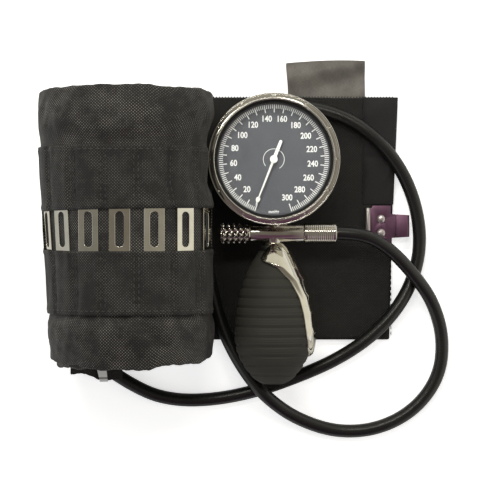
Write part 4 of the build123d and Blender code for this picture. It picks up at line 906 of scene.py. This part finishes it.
def lathed(points, axis, centre, segments):
    """Turned shape from (radius, place along the axis) points, closed where it meets the axis."""
    bm = bmesh.new()
    verts = [bm.verts.new((r, y, 0) if axis == "Y" else (r, 0, y)) for r, y in points]
    edges = [bm.edges.new(pair) for pair in zip(verts, verts[1:])]
    bmesh.ops.spin(bm, geom=verts + edges, cent=(0, 0, 0), axis=(0, 1, 0) if axis == "Y" else (0, 0, 1),
                   angle=math.tau, steps=segments, use_merge=True, use_duplicate=False)
    bmesh.ops.remove_doubles(bm, verts=bm.verts, dist=1e-7)
    bmesh.ops.recalc_face_normals(bm, faces=bm.faces)
    bmesh.ops.translate(bm, vec=centre, verts=bm.verts)
    return bm


rivet_low, rivet_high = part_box("hook_rivets")
head_r, head_seat, head_high, shank_r = (rivet_high.x - rivet_low.x) / 2, 0.0040, 0.0014, 0.0011
dome = [(head_r * math.cos(math.radians(a)) ** 0.8, head_seat + head_high * math.sin(math.radians(a)))
        for a in range(9, 90, 9)]
bm = bmesh.new()
for y in (rivet_low.y + head_r, rivet_high.y - head_r):
    merge(bm, lathed([(0, rivet_low.z), (shank_r, rivet_low.z), (shank_r, head_seat), (head_r, head_seat)]
                     + dome + [(0, head_seat + head_high)], "Z",
                     ((rivet_low.x + rivet_high.x) / 2, y, 0), 48))
rivets = in_scene("hook_rivet_heads", bm, rivet_steel)
fitted(rivets, hand_piece, "hook_rivets")


# VALVE
# A turned brass body, chrome plated, that carries gauge, bulb and hose. The release knob at its
# left end is coarsely knurled, and the hose's coupling nut at its right end finely.

valve_z, valve_edge = 0.0234, 0.0003
turned_edge, edge_long, run_out = 0.0004, 0.0005, 0.0003
valve_chrome = plated_steel("chrome plated brass", "#dedbd4", "#b5b0a6", 0.06, 8)
broken_edges("valve_block", "valve_body", valve_edge, valve_chrome, hand_piece)


def knurled_bar(name, node, radius, bore, pitch, around, depth, rim):
    """Round bar along the valve's axis, cut into ribs, or into rows of pips if around is given."""
    segments, rings_per_pitch = around * 12 or 144, 10
    low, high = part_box(node)
    start, long = low.x, high.x - low.x
    bm = bmesh.new()
    bmesh.ops.create_circle(bm, cap_ends=False, segments=segments, radius=radius)
    bmesh.ops.rotate(bm, matrix=Matrix.Rotation(math.radians(90), 3, "Y"), verts=bm.verts)
    rings = max(round(long / pitch * rings_per_pitch), 8)
    ring = bm.edges[:]
    for number in range(rings):
        made = bmesh.ops.extrude_edge_only(bm, edges=ring)["geom"]
        bmesh.ops.translate(bm, vec=(long / rings, 0, 0),
                            verts=[g for g in made if isinstance(g, bmesh.types.BMVert)])
        ring = [g for g in made if isinstance(g, bmesh.types.BMEdge)
                and abs(g.verts[0].co.x - g.verts[1].co.x) < 1e-7]
    for vert in bm.verts:
        x = vert.co.x
        turn = math.atan2(vert.co.z, vert.co.y) / math.tau * around
        lug = (x - rim) / pitch
        from_end = min(x, long - x)
        dome = abs(math.sin(math.pi * turn) if around else 1) * abs(math.sin(math.pi * lug))
        cut = depth * (1 - dome) * ease(from_end, rim, rim + run_out)
        cut += turned_edge * (1 - ease(from_end, 0, edge_long))
        size = (radius - cut) / radius
        vert.co.y, vert.co.z = vert.co.y * size, vert.co.z * size
    for x in (0, long):
        edge = [e for e in bm.edges if all(abs(v.co.x - x) < 1e-7 for v in e.verts)]
        made = bmesh.ops.extrude_edge_only(bm, edges=edge)["geom"]
        verts = [g for g in made if isinstance(g, bmesh.types.BMVert)]
        scale = bore / math.hypot(verts[0].co.y, verts[0].co.z)
        bmesh.ops.scale(bm, vec=(1, scale, scale), verts=verts)
    ends = [[e for e in bm.edges if len(e.link_faces) == 1 and abs(e.verts[0].co.x - x) < 1e-7]
            for x in (0, long)]
    bmesh.ops.bridge_loops(bm, edges=ends[0] + ends[1])
    bmesh.ops.translate(bm, vec=(start, 0, valve_z), verts=bm.verts)
    bmesh.ops.recalc_face_normals(bm, faces=bm.faces)
    for e in bm.edges:
        e.smooth = len(e.link_faces) == 2 and e.calc_face_angle(0) < math.radians(50)
    fitted(in_scene(name, bm, valve_chrome), node, node)


knurled_bar("knurled_release_knob", "release_knob", radius=0.0056, bore=0.0012, pitch=0.0029,
            around=9, depth=0.0009, rim=0.0006)
knurled_bar("knurled_coupling_nut", "coupling_nut", radius=0.0054, bore=0.00395, pitch=0.0010,
            around=0, depth=0.00013, rim=0.0012)


# BULB
# Hand-moulded black rubber with eleven shallow finger grooves, pushed over the valve's spigot.
# Its far end holds the inlet valve, a turned steel plug with a ball and a screen.

bulb_rubber = black_rubber("moulded bulb rubber", "#282722", "#33322c", 0.4, 0.74)
bulb_arcs = (((7.5, -9.2), (16.0, -26.2), (20.1, -49.5)), ((20.1, -49.5), (18.7, -63.0), (13.8, -72.0)),
             ((13.8, -72.0), (9.6, -76.4), (4.7, -79.0)))
neck_y, bulb_end_y, skin_step, skin_rings = -9.2, -79.0, 0.15, 466
groove_pitch, groove_depth, groove_half, first_groove, last_groove = 4.98, 0.50, 0.75, -23.5, 10
mould_ring, mould_pitch, ring_fade, end_fade_y = 0.05, 1.25, (14, 18), -75
bulb_wall, neck_bore, plug_hole = 0.0024, 0.0041, ((0.0047, -0.079), (0.00465, -0.0765))
lining_end_y, lining_start_y = -0.0755, -0.0115


def arc_radius(arc, y):
    """Radius in millimetres of the bulb's skin at a place along its axis, on one arc."""
    (ax, ay), (bx, by), (cx, cy) = arc
    d = 2 * (ax * (by - cy) + bx * (cy - ay) + cx * (ay - by))
    sa, sb, sc = ax * ax + ay * ay, bx * bx + by * by, cx * cx + cy * cy
    x = (sa * (by - cy) + sb * (cy - ay) + sc * (ay - by)) / d
    z = (sa * (cx - bx) + sb * (ax - cx) + sc * (bx - ax)) / d
    return x + math.sqrt((ax - x) ** 2 + (ay - z) ** 2 - (y - z) ** 2)


def skin_radius(y):
    """The bulb's radius in millimetres without its grooves."""
    return arc_radius(next(a for a in bulb_arcs if y >= a[2][1] - 1e-6), y)


def bulb_radius(y):
    """The same with the grooves, and the fine rings that the mould's turning left."""
    number = min(max(round((first_groove - y) / groove_pitch), 0), last_groove)
    off = (y - first_groove + number * groove_pitch) / groove_half
    ring = mould_ring * math.cos(math.tau * y / mould_pitch) * ease(-y, *ring_fade)
    cut = groove_depth * math.exp(-off * off) + ring
    return skin_radius(y) - cut * ease(y, bulb_end_y, end_fade_y)


steps = [neck_y - skin_step * n for n in range(skin_rings)]
skin = [(bulb_radius(y) / 1000, y / 1000) for y in steps]
lining = [(max(r - bulb_wall, neck_bore), y) for r, y in skin[::-10] if lining_end_y < y < lining_start_y]
mouth = (neck_bore, neck_y / 1000)
bm = lathed([mouth, *skin, *plug_hole, *lining, mouth], "Y", (0, 0, valve_z), 128)
fitted(in_scene("rubber_bulb", bm, bulb_rubber), hand_piece, "bulb")
turned_steel = plated_steel("turned stainless steel", "#c8c8c6", "#9a9a98", 0.22, 2)
for node in ("inlet_valve_ball", "inlet_valve_screen", "valve_needle",
             "spoon_lock_nut", "movement_screws", "hairspring", "capsule_push_pin", "rocker_shaft",
             "pinion_arbor", "sector_arbor", "hook_backing_plate"):
    paint(node, turned_steel)
paint("inlet_valve_body", plated_steel("blackened steel", "#2c2b29", "#171716", 0.4, 2))


# SPOON
# A leaf of pressed steel, chrome plated, held by its collar between valve and bulb. It hugs the
# bulb's right side for the palm, and four bumps on its outer edge give the fingers a grip.

spoon_chrome = plated_steel("chrome plated spoon steel", "#e8e5d8", "#c6c1b0", 0.05, 12)
leaf_thick, leaf_stand, leaf_start_y, leaf_last_y, leaf_tip_y = 1.1, 2.05, -4.9, -64.42, -64.5
leaf_step, leaf_rows, leaf_across, leaf_edge_round = 0.35, 170, 64, 0.00035
rim_drop, rim_turn, rim_fade = 1.35, 13, (12, 22)
collar = ((-4.9, 4.4), (-5.6, 6.0), (-7.2, 8.0), (-9.2, 9.6), (-12.5, 11.65))
collar_end_y = collar[-1][0]
leaf_edge = ((-5.0, -10), (-6.7, -22), (-12.5, -38.7), (-14.5, -25), (-17.9, 9), (-24.7, 32),
             (-33.6, 45), (-43.6, 50.6), (-53, 54.5), (-60.5, 63.5), (leaf_tip_y, 88))
tip_from_y, tip_turn, tip_spread, tip_long = -57, 88, 34, 9
bump_rows, bump_high, bump_half, bump_turn = (-23.3, -32.3, -41.3, -50.3), 0.9, 1.7, 24
lock_washer = ((0.0043, -0.0050), (0.0050, -0.0051), (0.0054, -0.0055), (0.0056, -0.0063),
               (0.0043, -0.0064), (0.0043, -0.0050))


def between(table, y):
    """Value of a table of falling places, straight between its rows."""
    for (y0, a), (y1, b) in zip(table, table[1:]):
        if y >= y1:
            return a + (b - a) * min((y0 - y) / (y0 - y1), 1) if y < y0 else a
    return table[-1][1]


def leaf_point(y, angle, low, depth):
    """Point of the leaf at a depth under its outer face: angle turns from up to the right."""
    radius = between(collar, y) if y > collar_end_y else skin_radius(y) + leaf_stand
    from_edge = min(angle - low, 180 - low - angle)
    radius -= rim_drop * (1 - ease(from_edge, 0, rim_turn)) * ease(-y, *rim_fade)
    for row in bump_rows if depth == 0 else ():
        near = math.exp(-((y - row) / bump_half) ** 2) * math.exp(-((angle - 90) / bump_turn) ** 2)
        radius += bump_high * near
    a = math.radians(angle)
    return (radius - depth) * math.sin(a) / 1000, y / 1000, (radius - depth) * math.cos(a) / 1000


bm = bmesh.new()
grids = []
for depth in (0, leaf_thick):
    grid = []
    for y in [leaf_start_y - leaf_step * n for n in range(leaf_rows)] + [leaf_last_y]:
        low = sum(between(leaf_edge, y + shift) for shift in (-0.5, 0, 0.5)) / 3
        if y < tip_from_y:
            low = max(low, tip_turn - tip_spread * math.sqrt(max((y - leaf_tip_y) / tip_long, 0)))
        grid.append([bm.verts.new(leaf_point(y, low + (180 - 2 * low) * n / leaf_across, low, depth))
                     for n in range(leaf_across + 1)])
    grids.append(grid)
    for a, b in zip(grid, grid[1:]):
        for n in range(leaf_across):
            bm.faces.new((a[n], a[n + 1], b[n + 1], b[n]))
outer, inner = grids
broad = set(bm.faces)
for a, b in ((outer[0], inner[0]), (outer[-1], inner[-1]),
             ([row[0] for row in outer], [row[0] for row in inner]),
             ([row[-1] for row in outer], [row[-1] for row in inner])):
    for n in range(len(a) - 1):
        bm.faces.new((a[n], a[n + 1], b[n + 1], b[n]))
bmesh.ops.recalc_face_normals(bm, faces=bm.faces)
rim = [e for e in bm.edges if len(broad.intersection(e.link_faces)) == 1]
bmesh.ops.bevel(bm, geom=rim, offset=leaf_edge_round, segments=3, profile=0.5, affect="EDGES",
                material=-1)
merge(bm, lathed(lock_washer, "Y", (0, 0, 0), 96))
bmesh.ops.translate(bm, vec=(0, 0, valve_z), verts=bm.verts)
bmesh.ops.recalc_face_normals(bm, faces=bm.faces)
fitted(in_scene("spoon_leaf", bm, spoon_chrome), hand_piece, "spoon_handle")


# GAUGE HOUSING
# A pressed steel cup, chrome plated, with a rolled bezel over its rim. The bezel holds the glass
# on a rubber gasket, and its rounded band is punched with a ring of small round dimples.

gauge_y, cup_edge = 0.038, 0.0003
case_chrome = plated_steel("chrome plated gauge steel", "#d8d5cd", "#aeaba0", 0.07, 10)
broken_edges("gauge_cup", "gauge_case", cup_edge, case_chrome, hand_piece)
# The band between the two rims, in millimetres: it rises inwards, and fine turned rings run round it.
band_r, band_z, band_wide, band_rise, band_crown = 33.3, 41.05, 1.95, 0.84, 0.27
band_rings, ring_high = 9, 0.008
band = []
for number in range(2 * band_rings + 1):
    inwards = number / band_rings / 2
    band.append((band_r - band_wide * inwards,
                 band_z + band_rise * inwards - band_crown * inwards ** 2 + ring_high * (number % 2)))
bezel_profile = ([(31.95, 34.6), (33.6, 34.6), (33.9, 34.8), (34.0, 35.1), (34.0, 40.55), (33.93, 40.85),
                  (33.75, 41.05), (33.55, 41.12), (33.42, 41.08)] + band
                 + [(31.28, 41.85), (31.1, 42.0), (30.85, 41.98), (30.62, 41.85), (30.45, 41.6),
                    (30.4, 41.3), (30.4, 40.6), (31.95, 40.6), (31.95, 34.6)])
bm = lathed([(r / 1000, z / 1000) for r, z in bezel_profile], "Z", (0, 0, 0), 720)
# Dimples at twelve places round the dial. Those at its top and bottom are pairs.
dimple_r, dimple_at, dimple_deep, dimple_from_z = 0.00070, 0.0323, 0.00020, 0.0408
places, pair_turn = 12, 1.3
for number in range(places):
    for turn in (-pair_turn, pair_turn) if number % 6 == 3 else (0,):
        angle = math.radians(360 / places * number + turn)
        centre = Vector((dimple_at * math.cos(angle), dimple_at * math.sin(angle)))
        for vert in bm.verts:
            far = (vert.co.xy - centre).length
            if far < dimple_r and vert.co.z > dimple_from_z:
                vert.co.z -= dimple_deep * (1 - (far / dimple_r) ** 2)
bmesh.ops.translate(bm, vec=(0, gauge_y, 0), verts=bm.verts)
fitted(in_scene("dimpled_bezel", bm, case_chrome), hand_piece, "gauge_bezel")
seal_rubber = black_rubber("moulded seal rubber", "#141414", "#1f1f1e", 0.5, 0.6)
for node in ("lens_gasket", "nipple_washer", "needle_seal", "outlet_valve_disc", "dial_spacer_ring"):
    paint(node, seal_rubber)

# Clear glass: it shows the dial without a tint, and a film of dust dulls its shine in patches.
dust_mm = 10
lens_glass, tree = new_material("polished mineral glass")
spot = add_node(tree, "ShaderNodeTexCoord").outputs["Object"]
dust = add_node(tree, "ShaderNodeTexNoise", {"Vector": spot}, Scale=1000 / dust_mm, Detail=3.0)
rough = add_node(tree, "ShaderNodeMapRange", {0: dust.outputs[0]}, To_Min=0.0, To_Max=0.05)
glass = add_node(tree, "ShaderNodeBsdfPrincipled",
                 {"Roughness": rough.outputs[0], "Base Color": "#f6f8f8"},
                 IOR=1.45, Transmission_Weight=1.0)
add_node(tree, "ShaderNodeOutputMaterial", {"Surface": glass.outputs[0]})
lens_edge, lens_face_area = 0.0002, 1e-5
lens = broken_edges("dial_glass", "dial_lens", lens_edge, lens_glass, hand_piece)
lens.visible_shadow = False
for face in lens.data.polygons:
    face.use_smooth = face.area < lens_face_area


# DIAL AND POINTER
# An aluminium plate enamelled mid grey, with the scale screen printed in white: a line every
# 2 mmHg, a longer one every 10, and a number every 20. The pointer is painted white.

def satin_paint(name, base, worn, roughness, cloud_mm=8, peel_mm=0.4):
    """Baked enamel or silk-screen ink: even, nearly matt, with a trace of orange peel."""
    material, tree = new_material(name)
    spot = add_node(tree, "ShaderNodeTexCoord").outputs["Object"]
    cloud = add_node(tree, "ShaderNodeTexNoise", {"Vector": spot}, Scale=1000 / cloud_mm, Detail=2.0)
    peel = add_node(tree, "ShaderNodeTexNoise", {"Vector": spot}, Scale=1000 / peel_mm)
    colour = add_node(tree, "ShaderNodeMix", {0: cloud.outputs[0], 6: base, 7: worn}, data_type="RGBA")
    bump = add_node(tree, "ShaderNodeBump", {"Height": peel.outputs[0]}, Strength=0.05, Distance=0.0001)
    surface = add_node(tree, "ShaderNodeBsdfPrincipled",
                       {"Base Color": colour.outputs[2], "Normal": bump.outputs[0]}, Roughness=roughness)
    add_node(tree, "ShaderNodeOutputMaterial", {"Surface": surface.outputs[0]})
    return material


dial_top, ink_thick, pointer_edge = 0.0354, 0.00004, 0.00008
zero_turn, turn_per_unit, last_line = 200.3, 1.0685, 150
line_out, short_line_in, long_line_in = 0.02835, 0.0262, 0.0242
short_line_wide, long_line_wide = 0.0004, 0.0005
arc_steps, arc_start, arc_turn, arc_in, arc_out, arc_piece = 60, -129, 276, 0.00525, 0.00555, 0.00046
number_high, number_bold, letter_narrow = 0.0043, 0.00011, 0.86
two_figures_r, three_figures_r, side_shift = 0.0208, 0.0213, 0.0011
paint("dial_plate", satin_paint("grey baked enamel", "#4b4d54", "#54565d", 0.5))
ink = satin_paint("white silk-screen ink", "#e9eaea", "#f2f2f2", 0.6)
bm = bmesh.new()


def printed(low_r, high_r, turn, width):
    """One printed line that points at the dial's centre. Turns run clockwise from the top."""
    made = bmesh.ops.create_cube(bm, size=1.0)["verts"]
    bmesh.ops.scale(bm, vec=(width, high_r - low_r, ink_thick), verts=made)
    bmesh.ops.translate(bm, vec=(0, (high_r + low_r) / 2, dial_top + ink_thick / 2), verts=made)
    bmesh.ops.rotate(bm, matrix=Matrix.Rotation(-math.radians(turn), 3, "Z"), verts=made)


for number in range(last_line + 1):
    tens = number % 5 == 0
    printed(long_line_in if tens else short_line_in, line_out, zero_turn + 2 * number * turn_per_unit,
            long_line_wide if tens else short_line_wide)
for number in range(arc_steps):
    printed(arc_in, arc_out, arc_start + arc_turn * (number + 0.5) / arc_steps, arc_piece)
# What is printed, its distance from the centre, its turn, its height, and how bold it is.
words = [("mmHg", 0.0270, 180, 0.0023, 0.00004)]
for value in range(20, 301, 20):
    turn = zero_turn + value * turn_per_unit
    inner_r = three_figures_r - side_shift * abs(math.sin(math.radians(turn)))
    words.append((str(value), two_figures_r if value < 100 else inner_r, turn, number_high, number_bold))
narrow = Matrix.Diagonal((letter_narrow, 1, 1, 1))
for text, radius, turn, height, bold in words:
    letters = bpy.data.curves.new("number", "FONT")
    letters.body, letters.size = text, height
    letters.align_x, letters.align_y = "CENTER", "CENTER"
    letters.extrude, letters.offset = ink_thick / 2, bold
    letters.resolution_u = 3
    holder = bpy.data.objects.new("number", letters)
    flat = bpy.data.meshes.new_from_object(holder)
    angle = math.radians(turn)
    flat.transform(Matrix.Translation((radius * math.sin(angle), radius * math.cos(angle),
                                       dial_top + ink_thick / 2)) @ narrow)
    bm.from_mesh(flat)
    bpy.data.objects.remove(holder)
bmesh.ops.translate(bm, vec=(0, gauge_y, 0), verts=bm.verts)
scale_print = in_scene("dial_scale_print", bm, ink)
for face in scale_print.data.polygons:
    face.use_smooth = False
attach(scale_print, hand_piece)
lacquer = satin_paint("white pointer lacquer", "#eeeeec", "#f6f6f4", 0.45)
broken_edges("painted_pointer", "pointer", pointer_edge, lacquer, "pointer")


# GAUGE MOVEMENT
# Under the dial: a corrugated capsule pushes a rocker, which turns a geared sector and the
# pointer's pinion against a hairspring. Plates and gears are brass, turned and tumbled.

def yellow_brass(name, bright, dull, roughness, tarnish_mm=4):
    """Tumbled brass: warm, softly mirrored, duller in patches where it has tarnished."""
    material, tree = new_material(name)
    spot = add_node(tree, "ShaderNodeTexCoord").outputs["Object"]
    tarnish = add_node(tree, "ShaderNodeTexNoise", {"Vector": spot}, Scale=1000 / tarnish_mm, Detail=4.0)
    colour = add_node(tree, "ShaderNodeMix", {0: tarnish.outputs[0], 6: bright, 7: dull},
                      data_type="RGBA")
    rough = add_node(tree, "ShaderNodeMapRange", {0: tarnish.outputs[0]},
                     To_Min=roughness, To_Max=roughness * 1.8)
    surface = add_node(tree, "ShaderNodeBsdfPrincipled",
                       {"Base Color": colour.outputs[2], "Roughness": rough.outputs[0]}, Metallic=1.0)
    add_node(tree, "ShaderNodeOutputMaterial", {"Surface": surface.outputs[0]})
    return material


brass = yellow_brass("tumbled brass", "#d9b56a", "#a88545", 0.22)
for node in ("movement_base_plate", "movement_top_plate", "movement_pillars", "sector_gear", "capsule_stud",
             "pressure_tube", "gauge_inlet_stem", "outlet_valve_seat", "hose_nipple"):
    paint(node, brass)
paint("capsule", yellow_brass("pressed bronze", "#c9a978", "#94774c", 0.3))
